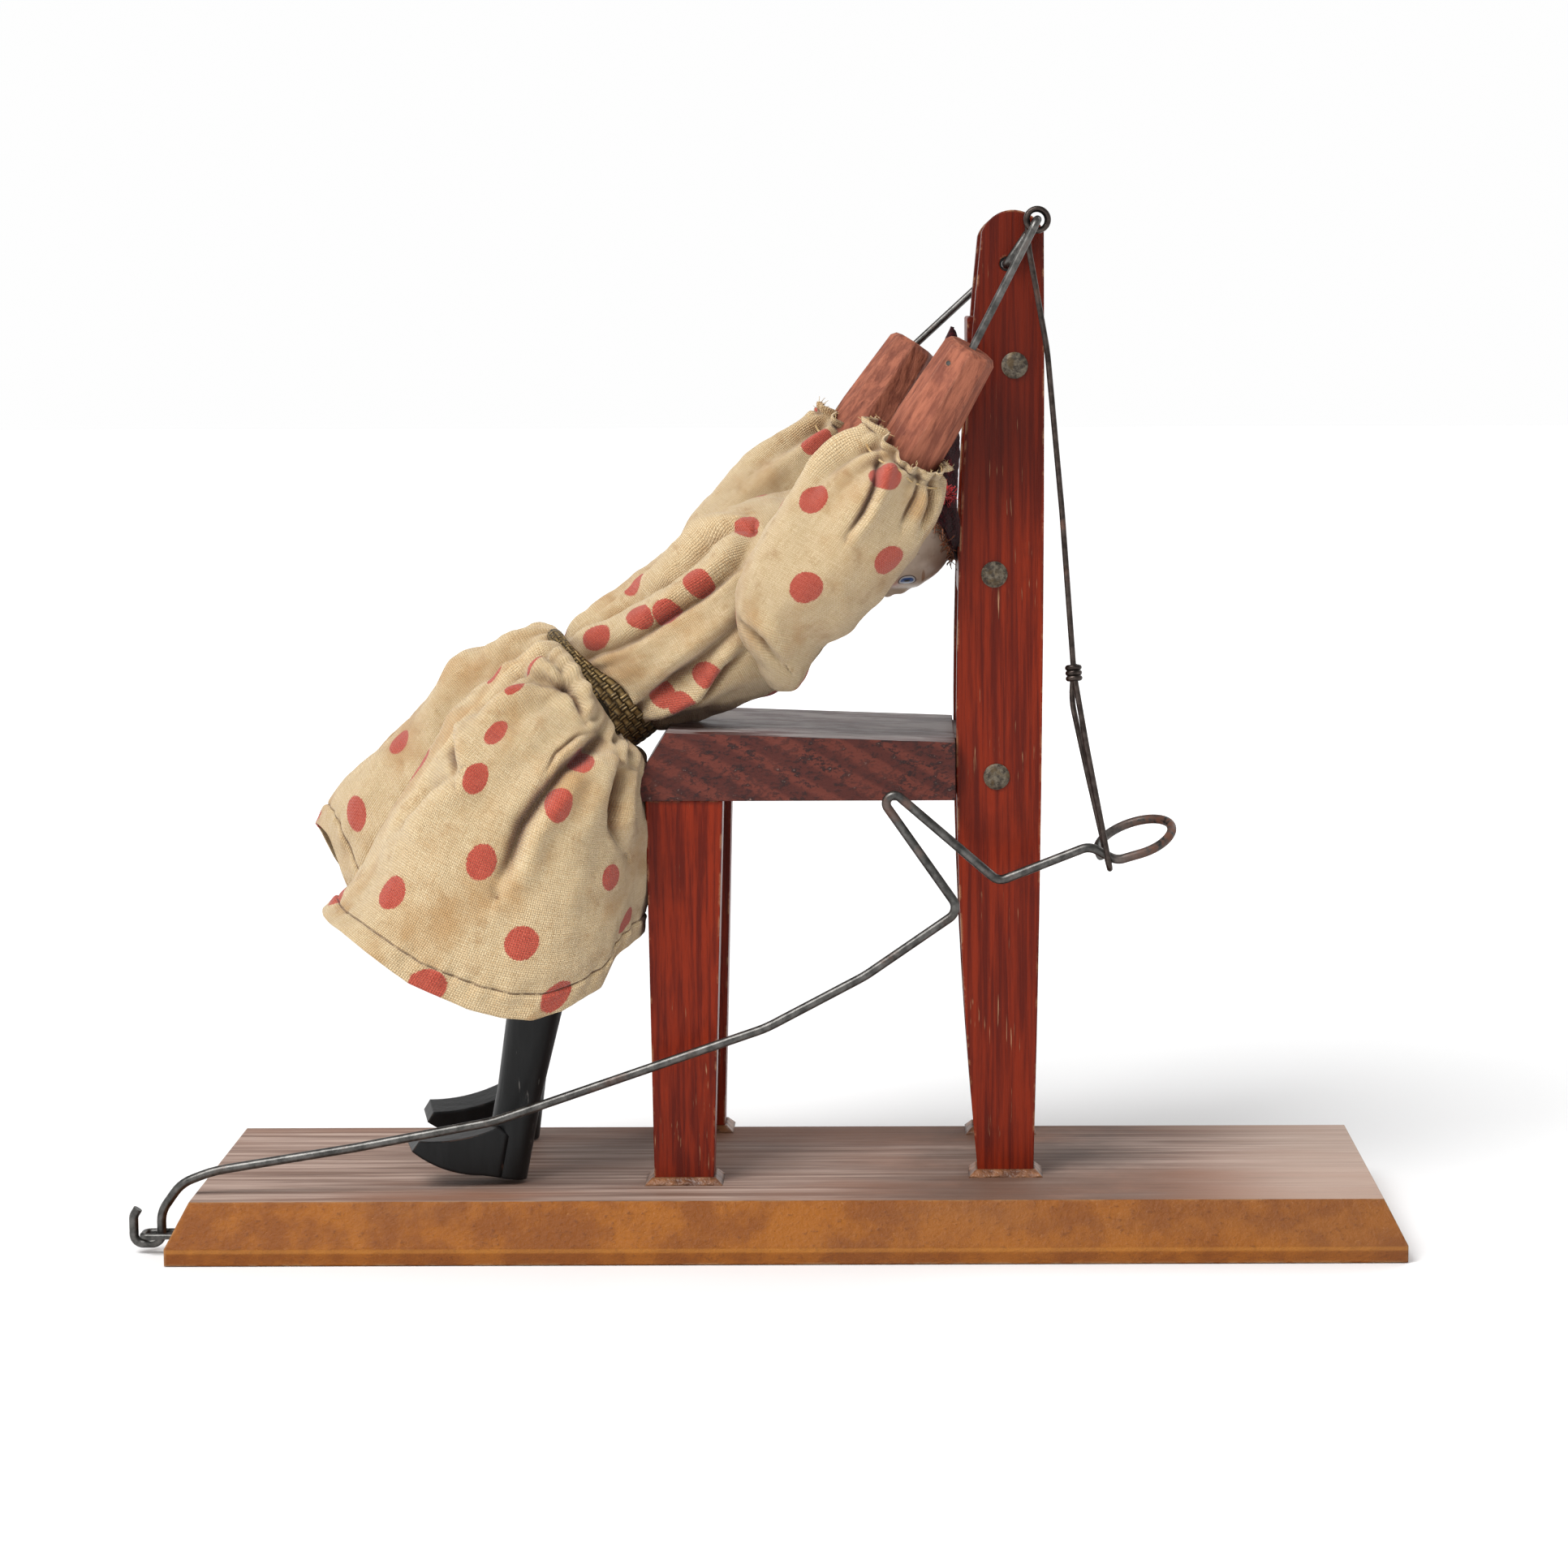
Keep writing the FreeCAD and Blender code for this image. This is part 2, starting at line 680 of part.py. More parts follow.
def make_link_rod():
    wire = value("link_wire_diameter")
    coil_side = throw_side - value("crank_wire_diameter/2") - 1.2 - wire / 2
    coil = wire_rings("coil_turn", at_side(pin, coil_side), Vector(0, -1, 0), "link_coil_radius",
                      value("link_coil_turns"), "link_wire_diameter/2")
    plane = value("lever_plane")
    half = value("(lever_wire_diameter+link_wire_diameter)/2+link_eye_side_gap")
    grip = Vector(value("link_grip_back"), plane, value("link_grip_height"))
    below = value("link_eye_drop")
    foot = grip + Vector(0.2 * below, 0, -0.98 * below)
    start = at_side(pin, coil_side) - Vector(value("link_coil_radius") - 0.25, 0, -0.8)
    knot = Vector(65.0, plane - 0.9, 132.2)
    # down the rod, through the knot, down the front of the eye, under the lever and up behind it
    route = [(start, 0), (Vector(55.1, coil_side, 227.5), 14), (Vector(59.3, coil_side - 3.5, 204.0), 60),
             (Vector(62.5, coil_side - 8.0, 168.0), 60), (knot, 24),
             (Vector(67.9, plane - half, 115.5), 30), (foot - Vector(0, half, 0), half - 0.1),
             (foot + Vector(0, half, 0), half - 0.1), (Vector(68.3, plane + half, 109.0), 30),
             (knot + Vector(-0.5, 1.75, -6.0), 20), (knot + Vector(0.2, 1.75, 2.0), 0)]
    rod = bent_wire("link_wire", wire, route)
    axis = (route[3][0] - knot).normalize()
    wraps = wire_rings("knot_turn", knot + Vector(0, 0.9, 0) - axis * 1.2, axis, "link_knot_radius",
                       value("link_knot_turns"), "link_wire_diameter/2")
    keep("link_rod", fuse("link_rod_body", rod, *(coil + wraps)))


# ---------------------------------------------------------------- doll: frame and places
doll = Placement(Vector(value("doll_back"), value("doll_side"), value("doll_height")),
                 Rotation(Vector(0, 0, 1), value("doll_yaw"))
                 * Rotation(Vector(1, 0, 0), value("doll_roll")))
to_doll = doll.inverse()
SIDES = {"near": -1, "far": 1}
shoulders = {name: Vector(0, side * value("shoulder_half"), 0) for name, side in SIDES.items()}
grips = {"near": near_grip, "far": far_grip}
slope = math.radians(value("torso_slope"))
hip = Vector(-math.cos(slope), 0, -math.sin(slope)) * value("torso_length")
# the torso's own frame: +Z from hip to shoulder, +X out of the chest
torso_frame = doll.multiply(Placement(Vector(0, 0, 0), Rotation(Vector(0, 1, 0),
                                                                90 - value("torso_slope"))))


def doll_pin(name, centre, half_length):
    place = doll.multiply(along(centre - Vector(0, half_length, 0), Vector(0, 1, 0)))
    return keep(name, cylinder(name + "_rod", "pin_diameter", str(2 * half_length), place))


def running_hole(name, centre, half_length):
    place = doll.multiply(along(centre - Vector(0, half_length, 0), Vector(0, 1, 0)))
    return cylinder(name, "pin_diameter+2*pin_running_gap", str(2 * half_length), place)


def tight_hole(name, centre, half_length):
    place = doll.multiply(along(centre - Vector(0, half_length, 0), Vector(0, 1, 0)))
    return cylinder(name, "pin_diameter", str(2 * half_length), place)


# ---------------------------------------------------------------- arms
def faceted_rod(name, start, direction, stations):
    """An eight-sided stick. Stations: (distance along it, width across flats)."""
    rings = []
    for number, (distance, width) in enumerate(stations):
        ring = doc.addObject("Part::RegularPolygon", "%s_ring_%d" % (name, number))
        ring.Polygon = 8
        bind(ring, "Circumradius", "(%s)/2/cos(22.5)" % width)
        ring.Placement = along(start + direction * value(distance), direction)
        rings.append(ring)
    stick = doc.addObject("Part::Loft", name)
    stick.Sections = rings
    stick.Solid = True
    stick.Ruled = True
    return stick


def make_arm(name):
    shoulder = doll.multVec(shoulders[name])
    reach = grips[name] - shoulder
    length = reach.Length
    direction = Vector(reach).normalize()
    end = str(length)
    stations = [("-arm_heel", "arm_diameter*0.72"), ("-arm_heel*0.45", "arm_diameter*0.95"),
                ("0", "arm_diameter"), (end + "-arm_taper_length", "arm_diameter"),
                (end + "-arm_end_chamfer", "arm_end_diameter"),
                (end, "arm_end_diameter-2*arm_end_chamfer*0.7")]
    stick = faceted_rod(name + "_stick", shoulder, direction, stations)
    pull = near_pull if name == "near" else far_pull
    bore = cylinder(name + "_wire_bore", "crank_wire_diameter+2*grip_hole_gap", "grip_depth+2",
                    along(grips[name] - pull * 2, pull))
    # a short pin beside the wire, from the outer face
    side = SIDES[name]
    across = direction.cross(Vector(0, 1, 0)).normalize()
    pin_centre = grips[name] - direction * value("arm_pin_setback") + across * value("arm_pin_side")
    surface = pin_centre + Vector(0, side * value("arm_end_diameter/2-0.2"), 0)
    place = along(surface, Vector(0, -side, 0))
    lock_pin = cylinder(name + "_arm_pin", "arm_pin_diameter", "arm_pin_length", place)
    lock_bore = cylinder(name + "_arm_pin_bore", "arm_pin_diameter", "arm_pin_length", place)
    lock_open = cylinder(name + "_arm_pin_mouth", "arm_pin_diameter", "2",
                         along(surface, Vector(0, side, 0)))
    axle_bore = running_hole(name + "_shoulder_bore", shoulders[name], value("arm_diameter"))
    keep(name + "_arm", cut(name + "_arm_cut", stick, bore, lock_bore, lock_open, axle_bore))
    return lock_pin


def make_arms():
    keep("arm_pins", group("arm_pin_set", [make_arm("near"), make_arm("far")]))


# ---------------------------------------------------------------- torso, head and legs
def make_torso_block():
    body = new_body("torso_block", torso_frame)
    sections = [("-torso_length-torso_hip_end", "hip_block_half", "torso_hip_depth"),
                ("-torso_length*0.6", "hip_block_half+1.5", "torso_depth"),
                ("-4", "shoulder_block_half", "torso_depth"),
                ("torso_shoulder_end", "shoulder_block_half-5", "torso_depth-3")]
    sketches = []
    for number, (height, half, depth) in enumerate(sections):
        corners = box_corners("-(%s)/2" % depth, "(%s)/2" % depth, "-(%s)" % half, half)
        sketches.append(outline(body, "torso_section_%d" % number, "XY_Plane", corners, height))
    loft(body, "torso_taper", sketches)
    reach = value("shoulder_half")
    keep("torso_block", cut("torso_block_cut", body,
                            tight_hole("torso_shoulder_bore", Vector(0, 0, 0), reach),
                            tight_hole("torso_hip_bore", hip, reach)))
    doll_pin("shoulder_pin", Vector(0, 0, 0), value("shoulder_half+arm_diameter/2+pin_overhang"))
    doll_pin("hip_pin", hip, value("hip_half+doll_leg_top_diameter/2+pin_overhang"))


def make_head():
    """A composition head on a neck that stands in the shoulder end of the torso."""
    centre = Vector(value("head_drop"), 0, value("head_ahead"))
    skull = ellipsoid("skull", ("head_half_depth", "head_half_width", "head_half_height"),
                      torso_frame.multiply(Placement(centre, Rotation())))
    nose = ellipsoid("nose", ("nose_radius+nose_rise", "nose_radius", "nose_radius*1.4"),
                     torso_frame.multiply(Placement(
                         centre + Vector(value("head_half_depth") - value("nose_radius"), 0, -1.0),
                         Rotation())))
    foot = Vector(value("head_drop") * 0.35, 0, value("torso_shoulder_end"))
    lean = (centre - foot).normalize()
    neck = cylinder("neck", "neck_diameter", "head_ahead*0.6",
                    torso_frame.multiply(along(foot - lean * 0.5, lean)))
    keep("head", cut("head_cut", fuse("head_form", skull, nose, neck), nodes["torso_block"]))


def leg_frame(name):
    """+Z up the leg, origin on the hip pin, -X towards the toes."""
    centre = hip + Vector(0, SIDES[name] * value("hip_half"), 0)
    turn = Rotation(Vector(0, 1, 0), value(name + "_leg_tilt"))
    splay = Rotation(Vector(1, 0, 0), SIDES[name] * value("doll_leg_splay"))
    return doll.multiply(Placement(centre, turn * splay))


def leg_length(name):
    """From hip pin to the sole, so that the heel's back corner just clears the board."""
    frame = leg_frame(name)
    down = frame.Rotation.multVec(Vector(0, 0, -1))
    heel = frame.Rotation.multVec(Vector(value("doll_ankle_diameter/2"), 0, 0))
    drop = frame.Base.z + heel.z - value("base_height+heel_gap")
    return drop / -down.z


def make_doll_leg(name):
    """A turned leg whose lower end is the heel, and a shoe carved to fit in front of it."""
    frame = leg_frame(name)
    length = str(leg_length(name))
    ankle = "(%s-doll_ankle_height)" % length
    leg = new_body(name + "_stick_leg", frame)
    round_top = "doll_leg_top_diameter/2"
    profile = [("0", "-" + length), ("doll_ankle_diameter/2", "-" + length),
               ("doll_ankle_diameter/2", "-" + ankle), ("doll_leg_diameter/2", "-%s*0.62" % ankle),
               (round_top, "0", "-doll_leg_top_diameter*0.146"), ("0", round_top)]
    sketch = outline(leg, name + "_leg_profile", "XZ_Plane", profile)
    turned = leg.newObject("PartDesign::Revolution", name + "_leg_turned")
    turned.Profile = sketch
    turned.ReferenceAxis = (sketch, ["V_Axis"])
    turned.Angle = 360
    doc.recompute()
    bore = running_hole(name + "_hip_bore", hip + Vector(0, SIDES[name] * value("hip_half"), 0),
                        value("doll_leg_diameter"))
    leg_piece = keep(name + "_leg", cut(name + "_leg_cut", leg, bore))

    shoe = new_body(name + "_shoe_block", frame)
    toe = "(doll_ankle_diameter/2-shoe_length)"
    sole = "(-%s)" % length
    side = [("0", sole), ("0", sole + "+shoe_height"),
            ("-doll_ankle_diameter*0.4", sole + "+shoe_instep", "1.2"),
            (toe + "+1.2", sole + "+shoe_toe_rise+shoe_toe_height"),
            (toe, sole + "+shoe_toe_rise", "-1.5"),
            ("-doll_ankle_diameter*0.55", sole)]
    pad(shoe, outline(shoe, name + "_shoe_side", "XZ_Plane", side), "shoe_width", middle=True)
    keep(name + "_shoe", cut(name + "_shoe_cut", shoe, leg_piece))


# ---------------------------------------------------------------- cloth
def oval(name, centre, across, half_across, half_side):
    """An oval whose one axis lies along a direction and whose other runs across the doll."""
    side = Vector(0, 1, 0)
    across = Vector(across).normalize()
    normal = across.cross(side)
    columns = (across * half_across, side * half_side, normal)
    matrix = Matrix(columns[0].x, columns[1].x, columns[2].x, centre.x,
                    columns[0].y, columns[1].y, columns[2].y, centre.y,
                    columns[0].z, columns[1].z, columns[2].z, centre.z)
    ring = Part.Wire(Part.makeCircle(1)).transformGeometry(matrix)
    return fixed(name, ring.transformGeometry(doll.toMatrix()))


def soft_form(name, ovals):
    form = doc.addObject("Part::Loft", name)
    form.Sections = ovals
    form.Solid = True
    form.Ruled = False
    return form


def torso_point(station, lift):
    """Station: from the shoulder towards the hip. Lift: out of the back."""
    back = Vector(-math.sin(slope), 0, math.cos(slope))
    return hip * (station / value("torso_length")) + back * lift


def torso_ovals(name, sections):
    """Sections: (station, height over the back, depth under the chest, half width, lean)."""
    ovals = []
    for number, (station, high, low, half, lean) in enumerate(sections):
        top = torso_point(station + lean, high)
        bottom = torso_point(station - lean, -low)
        middle = (top + bottom) * 0.5
        ovals.append(oval("%s_section_%d" % (name, number), middle, bottom - top,
                          (top - bottom).Length / 2, half))
    return ovals


def belt_section(step, inset):
    """An oval of the belt, a step along the torso from its middle and inset from its outside."""
    lean = value("belt_half_depth") * math.tan(math.radians(value("belt_lean")))
    return (value("belt_station") + step, value("belt_half_depth+belt_offset") - inset,
            value("belt_half_depth-belt_offset") - inset, value("belt_half_width") - inset, lean)


def make_blouse():
    half = value("shoulder_half-arm_diameter/2-blouse_side_gap") - 1.2
    half_belt = value("belt_width") / 2
    inset = value("belt_wall+belt_gap")
    sections = [belt_section(half_belt, inset), belt_section(-half_belt, inset),
                (46.0, 14.4, 16.4, 17.0, 0.0), (31.0, 17.2, 21.6, 21.0, 0.0),
                (14.0, 18.4, 21.0, half, 0.0), (0.0, 15.0, 16.0, half - 1.0, 0.0),
                (-8.0, 9.5, 10.5, half - 7.0, 0.0)]
    form = soft_form("blouse_form", torso_ovals("blouse", sections))
    form.Ruled = True
    keep("blouse", cut("blouse_cut", form, nodes["torso_block"], nodes["shoulder_pin"],
                       nodes["hip_pin"], nodes["head"], hip_hollow("near"), hip_hollow("far")))


def hip_hollow(name):
    """Room in the cloth for the round top of a leg."""
    radius = "doll_leg_top_diameter/2+cloth_gap"
    centre = hip + Vector(0, SIDES[name] * value("hip_half"), 0)
    return ellipsoid(name + "_hip_hollow", (radius, radius, radius),
                     doll.multiply(Placement(centre, Rotation())))


def make_belt():
    half = value("belt_width") / 2
    wall = value("belt_wall")
    outer = [belt_section(step, 0) for step in (-half, half)]
    inner = [belt_section(step, wall) for step in (-half - 1, half + 1)]
    band = soft_form("belt_outer", torso_ovals("belt_outer", outer))
    inside = soft_form("belt_inner", torso_ovals("belt_inner", inner))
    keep("belt", cut("belt_band", band, inside, hip_hollow("near"), hip_hollow("far")))


def make_sleeve(name):
    """A puffed sleeve, gathered at the cuff, that hangs in a point under the shoulder."""
    side = SIDES[name]
    shoulder = shoulders[name]
    reach = to_doll.multVec(grips[name]) - shoulder
    rise = Vector(reach.x, 0, reach.z).normalize()
    across = Vector(rise.z, 0, -rise.x)
    # (distance up the arm, inner edge, outer edge, half thickness, distance outboard)
    sections = [(31.0, 7.6, 9.2, 8.6, 5.4), (23.0, 13.0, 12.2, 10.8, 4.6), (8.0, 18.4, 11.6, 11.4, 4.4),
                (-5.0, 20.6, 9.6, 11.2, 4.2), (-18.0, 13.6, 6.4, 8.6, 2.4), (-27.5, 4.6, 5.4, 4.2, 1.2)]
    ovals = []
    for number, (distance, left, right, thick, outboard) in enumerate(sections):
        middle = (shoulder + rise * distance + across * ((right - left) / 2)
                  + Vector(0, side * outboard, 0))
        ovals.append(oval("%s_sleeve_section_%d" % (name, number), middle, across,
                          (left + right) / 2, thick))
    form = soft_form(name + "_sleeve_form", ovals)
    keep(name + "_sleeve", cut(name + "_sleeve_cut", form, nodes[name + "_arm"],
                               tight_hole(name + "_sleeve_bore", shoulder, value("arm_diameter"))))


def make_trouser_leg(name):
    """A wide trouser leg that fans out from the belt to a hem cut on a circle."""
    side = SIDES[name]
    turn = value("trouser_turn") if name == "far" else 0.0
    spin = Rotation(Vector(0, 1, 0), turn)
    # (front edge x z, back edge x z, half thickness, distance outboard)
    edges = [(-64.5, -24.6, -45.0, -46.5, 12.6, 13.4), (-73.5, -29.5, -44.8, -50.0, 16.0, 16.8),
             (-86.5, -41.0, -45.0, -57.0, 18.0, 18.8),
             (-98.5, -57.5, -43.6, -73.0, 19.4, 20.4), (-112.0, -77.5, -43.0, -91.0, 20.4, 21.4),
             (-124.0, -96.5, -43.0, -112.0, 20.4, 21.4)]
    ovals = []
    for number, (front_x, front_z, back_x, back_z, thick, outboard) in enumerate(edges):
        front = hip + spin.multVec(Vector(front_x, 0, front_z) - hip)
        back = hip + spin.multVec(Vector(back_x, 0, back_z) - hip)
        middle = (front + back) * 0.5 + Vector(0, side * outboard, 0)
        ovals.append(oval("%s_trouser_section_%d" % (name, number), middle, back - front,
                          (back - front).Length / 2, thick))
    form = soft_form(name + "_trouser_form", ovals)
    fan_centre = hip + spin.multVec(Vector(-72.0, 0, -35.0) - hip)
    fan = cylinder(name + "_trouser_fan", "2*trouser_fan_radius", "160",
                   doll.multiply(along(fan_centre - Vector(0, 80, 0), Vector(0, 1, 0))))
    trimmed = common(name + "_trouser_trim", form, fan)
    keep(name + "_trouser_leg", cut(name + "_trouser_cut", trimmed, nodes[name + "_leg"],
                                    nodes["hip_pin"], nodes["torso_block"]))


def make_cap():
    """A soft pointed cap whose tip leans up along the chair's back."""
    # (front edge x z, back edge x z, half width)
    edges = [(32.2, -1.8, 21.8, 17.5, 11.0), (33.6, 8.0, 21.5, 25.5, 10.4), (33.8, 22.0, 24.5, 35.0, 7.4),
             (33.8, 36.0, 29.0, 43.0, 3.8), (33.4, 49.6, 31.4, 51.2, 1.1)]
    ovals = []
    for number, (front_x, front_z, back_x, back_z, half) in enumerate(edges):
        front = Vector(front_x, 0, front_z)
        back = Vector(back_x, 0, back_z)
        ovals.append(oval("cap_section_%d" % number, (front + back) * 0.5, back - front,
                          (back - front).Length / 2, half))
    form = soft_form("cap_form", ovals)
    keep("hat", cut("cap_cut", form, nodes["head"]))
    tuft = ellipsoid("tuft_form", ("2.2", "1.8", "3.4"),
                     doll.multiply(Placement(Vector(28.6, -10.0, 13.5), Rotation())))
    keep("hat_tuft", cut("tuft_cut", tuft, nodes["hat"]))


# ---------------------------------------------------------------- building and writing
make_base_board()
make_back_post("near_back_post", near_face)
make_back_post("far_back_post", far_inner)
make_front_leg("near_front_leg", -1)
make_front_leg("far_front_leg", 1)
make_seat_board()
make_back_slat("upper_back_slat", "upper", NAILS[0])
make_back_slat("middle_back_slat", "middle", NAILS[1])
make_back_nails()
make_glue_beads()
make_lever_staple()
make_hand_lever()
make_crank_wire()
make_link_rod()
make_arms()
make_torso_block()
make_head()
make_doll_leg("near")
make_doll_leg("far")
make_blouse()
make_belt()
make_sleeve("near")
make_sleeve("far")
make_trouser_leg("near")
make_trouser_leg("far")
make_cap()
doc.recompute()

for thing in doc.Objects:
    if "Invalid" in thing.State or "Error" in thing.State:
        raise ValueError("%s is %s" % (thing.Name, thing.State))

os.makedirs("parts", exist_ok=True)
for node, thing in nodes.items():
    if thing.Shape.isNull() or not thing.Shape.isValid():
        raise ValueError(node + " is not a valid shape")
    thing.Shape.exportStep("parts/%s.step" % node)
    print(node, len(thing.Shape.Solids), round(thing.Shape.Volume, 2))
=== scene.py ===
import math
import bpy
import numpy as np
from mathutils import Matrix, Vector


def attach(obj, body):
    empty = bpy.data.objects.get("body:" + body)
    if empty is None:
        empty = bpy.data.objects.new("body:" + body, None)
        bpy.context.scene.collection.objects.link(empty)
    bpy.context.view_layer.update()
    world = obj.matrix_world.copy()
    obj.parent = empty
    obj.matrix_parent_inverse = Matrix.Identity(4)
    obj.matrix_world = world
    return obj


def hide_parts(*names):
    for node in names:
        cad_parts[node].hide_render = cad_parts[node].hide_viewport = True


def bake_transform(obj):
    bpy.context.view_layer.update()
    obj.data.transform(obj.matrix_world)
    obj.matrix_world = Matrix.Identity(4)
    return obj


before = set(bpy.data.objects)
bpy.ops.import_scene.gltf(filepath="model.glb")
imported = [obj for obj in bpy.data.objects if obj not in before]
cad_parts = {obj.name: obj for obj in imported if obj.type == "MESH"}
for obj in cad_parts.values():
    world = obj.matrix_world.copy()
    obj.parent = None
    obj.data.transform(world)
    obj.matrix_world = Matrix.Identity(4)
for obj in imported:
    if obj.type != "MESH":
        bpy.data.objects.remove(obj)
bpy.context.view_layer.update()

TAU = 2 * math.pi
MM = 0.001

# ---- camera
camera_data = bpy.data.cameras.new("camera")
camera_data.lens = 92.1
camera_data.sensor_width = 36.0
camera_data.shift_x = -0.0745
camera = bpy.data.objects.new("camera", camera_data)
camera.matrix_world = (Matrix.Translation((0.02614, -0.92928, 0.21494))
    @ Matrix.Rotation(math.pi / 2 - 0.1196, 4, "X") @ Matrix.Rotation(-0.00308, 4, "Z"))
bpy.context.scene.collection.objects.link(camera)
bpy.context.scene.camera = camera

# ---- the doll's own frame, in mm
DOLL = np.array([[0.978148, -0.207405, 0.014503], [0.207912, 0.975765, -0.068232],
    [0.0, 0.069756, 0.997564]])
DOLL_ORIGIN = np.array([6.3, 9.2, 157.8])
SLOPE = math.radians(32.7)
TORSO_UP = np.array([math.cos(SLOPE), 0.0, math.sin(SLOPE)])
TORSO_BACK = np.array([-math.sin(SLOPE), 0.0, math.cos(SLOPE)])
SIDEWAYS = np.array([0, 1.0, 0])


def to_row(points):
    """Doll millimetres to row-frame metres."""
    return (np.asarray(points, float) @ DOLL.T + DOLL_ORIGIN) * MM


def curve_through(table, t):
    """Smooth values between the rows of a table whose first column runs with t."""
    table = np.asarray(table, float)
    keys, rows = table[:, 0], table[:, 1:]
    slopes = np.gradient(rows, keys, axis=0)
    t = np.clip(np.asarray(t, float), keys[0], keys[-1])
    index = np.clip(np.searchsorted(keys, t, side="right") - 1, 0, len(keys) - 2)
    width = (keys[index + 1] - keys[index])[..., None]
    x = ((t - keys[index]) / (keys[index + 1] - keys[index]))[..., None]
    a, b = rows[index], rows[index + 1]
    ma, mb = slopes[index] * width, slopes[index + 1] * width
    return ((2 * x ** 3 - 3 * x ** 2 + 1) * a + (x ** 3 - 2 * x ** 2 + x) * ma
        + (-2 * x ** 3 + 3 * x ** 2) * b + (x ** 3 - x ** 2) * mb)


def smooth(low, high, x):
    t = np.clip((x - low) / (high - low), 0, 1)
    return t * t * (3 - 2 * t)


# ---- node graphs
class Graph:
    """Short calls for a material's nodes."""

    def __init__(self, name):
        self.material = bpy.data.materials.new(name)
        self.material.use_nodes = True
        self.tree = self.material.node_tree
        self.tree.nodes.clear()
        self.shader = self.tree.nodes.new("ShaderNodeBsdfPrincipled")
        out = self.tree.nodes.new("ShaderNodeOutputMaterial")
        self.link(self.shader.outputs[0], out.inputs[0])

    def link(self, a, b):
        self.tree.links.new(a, b)

    def put(self, socket, value):
        if isinstance(value, bpy.types.NodeSocket):
            self.link(value, socket)
        elif isinstance(value, (tuple, list)) and socket.type == "RGBA" and len(value) == 3:
            socket.default_value = (*value, 1)
        else:
            socket.default_value = value

    def node(self, kind, settings=None, **inputs):
        made = self.tree.nodes.new("ShaderNode" + kind)
        for key, value in (settings or {}).items():
            setattr(made, key, value)
        for key, value in inputs.items():
            self.put(made.inputs[key.replace("_", " ")], value)
        return made

    def math(self, operation, a, b=0.0):
        made = self.node("Math", {"operation": operation})
        for socket, value in zip(made.inputs, (a, b)):
            self.put(socket, value)
        return made.outputs[0]

    def times(self, a, b):
        return self.math("MULTIPLY", a, b)

    def plus(self, a, b):
        return self.math("ADD", a, b)

    def less(self, a, b):
        return self.math("SUBTRACT", a, b)

    def size(self, value):
        return self.math("ABSOLUTE", value)

    def inverse(self, value):
        return self.less(1.0, value)

    def vector(self, operation, a, b=(0, 0, 0)):
        made = self.node("VectorMath", {"operation": operation})
        for socket, value in zip(made.inputs, (a, b)):
            self.put(socket, value)
        return made.outputs["Value" if operation in ("DISTANCE", "LENGTH", "DOT_PRODUCT") else 0]

    def stretch(self, vector, scale):
        return self.vector("MULTIPLY", vector, tuple(float(x) for x in scale))

    def along(self, vector, way, low, high):
        """Coordinates that run slowly along a direction and fast across it."""
        reach = self.vector("DOT_PRODUCT", vector, way)
        slow = self.node("VectorMath", {"operation": "SCALE"}, Scale=reach)
        slow.inputs[0].default_value = tuple(x * (high - low) for x in way)
        return self.vector("SUBTRACT", self.stretch(vector, (high, high, high)), slow.outputs[0])

    def noise(self, vector, scale, detail=4.0, rough=0.55, distortion=0.0):
        made = self.node("TexNoise", None, Vector=vector, Scale=float(scale), Detail=float(detail),
            Roughness=rough, Distortion=distortion)
        return made.outputs[0]

    def band(self, value, low, high):
        """0 below low, 1 above high, with a soft step between."""
        made = self.node("MapRange", {"interpolation_type": "SMOOTHSTEP"})
        for name, number in (("Value", value), ("From Min", low), ("From Max", high)):
            self.put(made.inputs[name], number)
        return made.outputs[0]

    def tint(self, color, mask, amount, shade):
        """The colour with a shade laid over it where the mask is 1, as strong as the amount."""
        return self.mix(self.times(mask, amount), color, shade)

    def mix(self, factor, a, b, blend="MIX"):
        made = self.node("Mix", {"data_type": "RGBA", "blend_type": blend})
        self.put(made.inputs[0], factor)
        self.put(made.inputs[6], a)
        self.put(made.inputs[7], b)
        return made.outputs[2]

    def lerp(self, factor, a, b):
        made = self.node("Mix", {"data_type": "FLOAT"})
        self.put(made.inputs[0], factor)
        self.put(made.inputs[2], a)
        self.put(made.inputs[3], b)
        return made.outputs[0]

    def coords(self):
        return self.node("TexCoord").outputs["Object"]

    def uv(self):
        return self.node("TexCoord").outputs["UV"]

    def split(self, vector):
        return self.node("SeparateXYZ", None, Vector=vector).outputs

    def normal(self):
        return self.node("NewGeometry").outputs["Normal"]

    def edges(self, radius, low=0.02, high=0.25):
        """1 on sharp edges, 0 on flat faces."""
        flat = self.vector("DOT_PRODUCT", self.round_edges(radius), self.normal())
        return self.band(self.inverse(flat), low, high)

    def bump(self, height, distance, strength=1.0, under=None):
        made = self.node("Bump", None, Height=height, Distance=distance, Strength=strength)
        if under is not None:
            self.put(made.inputs["Normal"], under)
        return made.outputs[0]

    def round_edges(self, radius):
        return self.node("Bevel", {"samples": 6}, Radius=radius).outputs[0]

    def finish(self, color, rough=0.5, metal=0.0, normal=None, sheen=0.0, specular=0.5):
        self.put(self.shader.inputs["Base Color"], color)
        self.put(self.shader.inputs["Roughness"], rough)
        self.put(self.shader.inputs["Metallic"], metal)
        self.shader.inputs["Specular IOR Level"].default_value = specular
        if normal is not None:
            self.put(self.shader.inputs["Normal"], normal)
        if sheen:
            self.shader.inputs["Sheen Weight"].default_value = sheen
            self.shader.inputs["Sheen Roughness"].default_value = 0.5
        return self.material


ALBEDO = 0.80


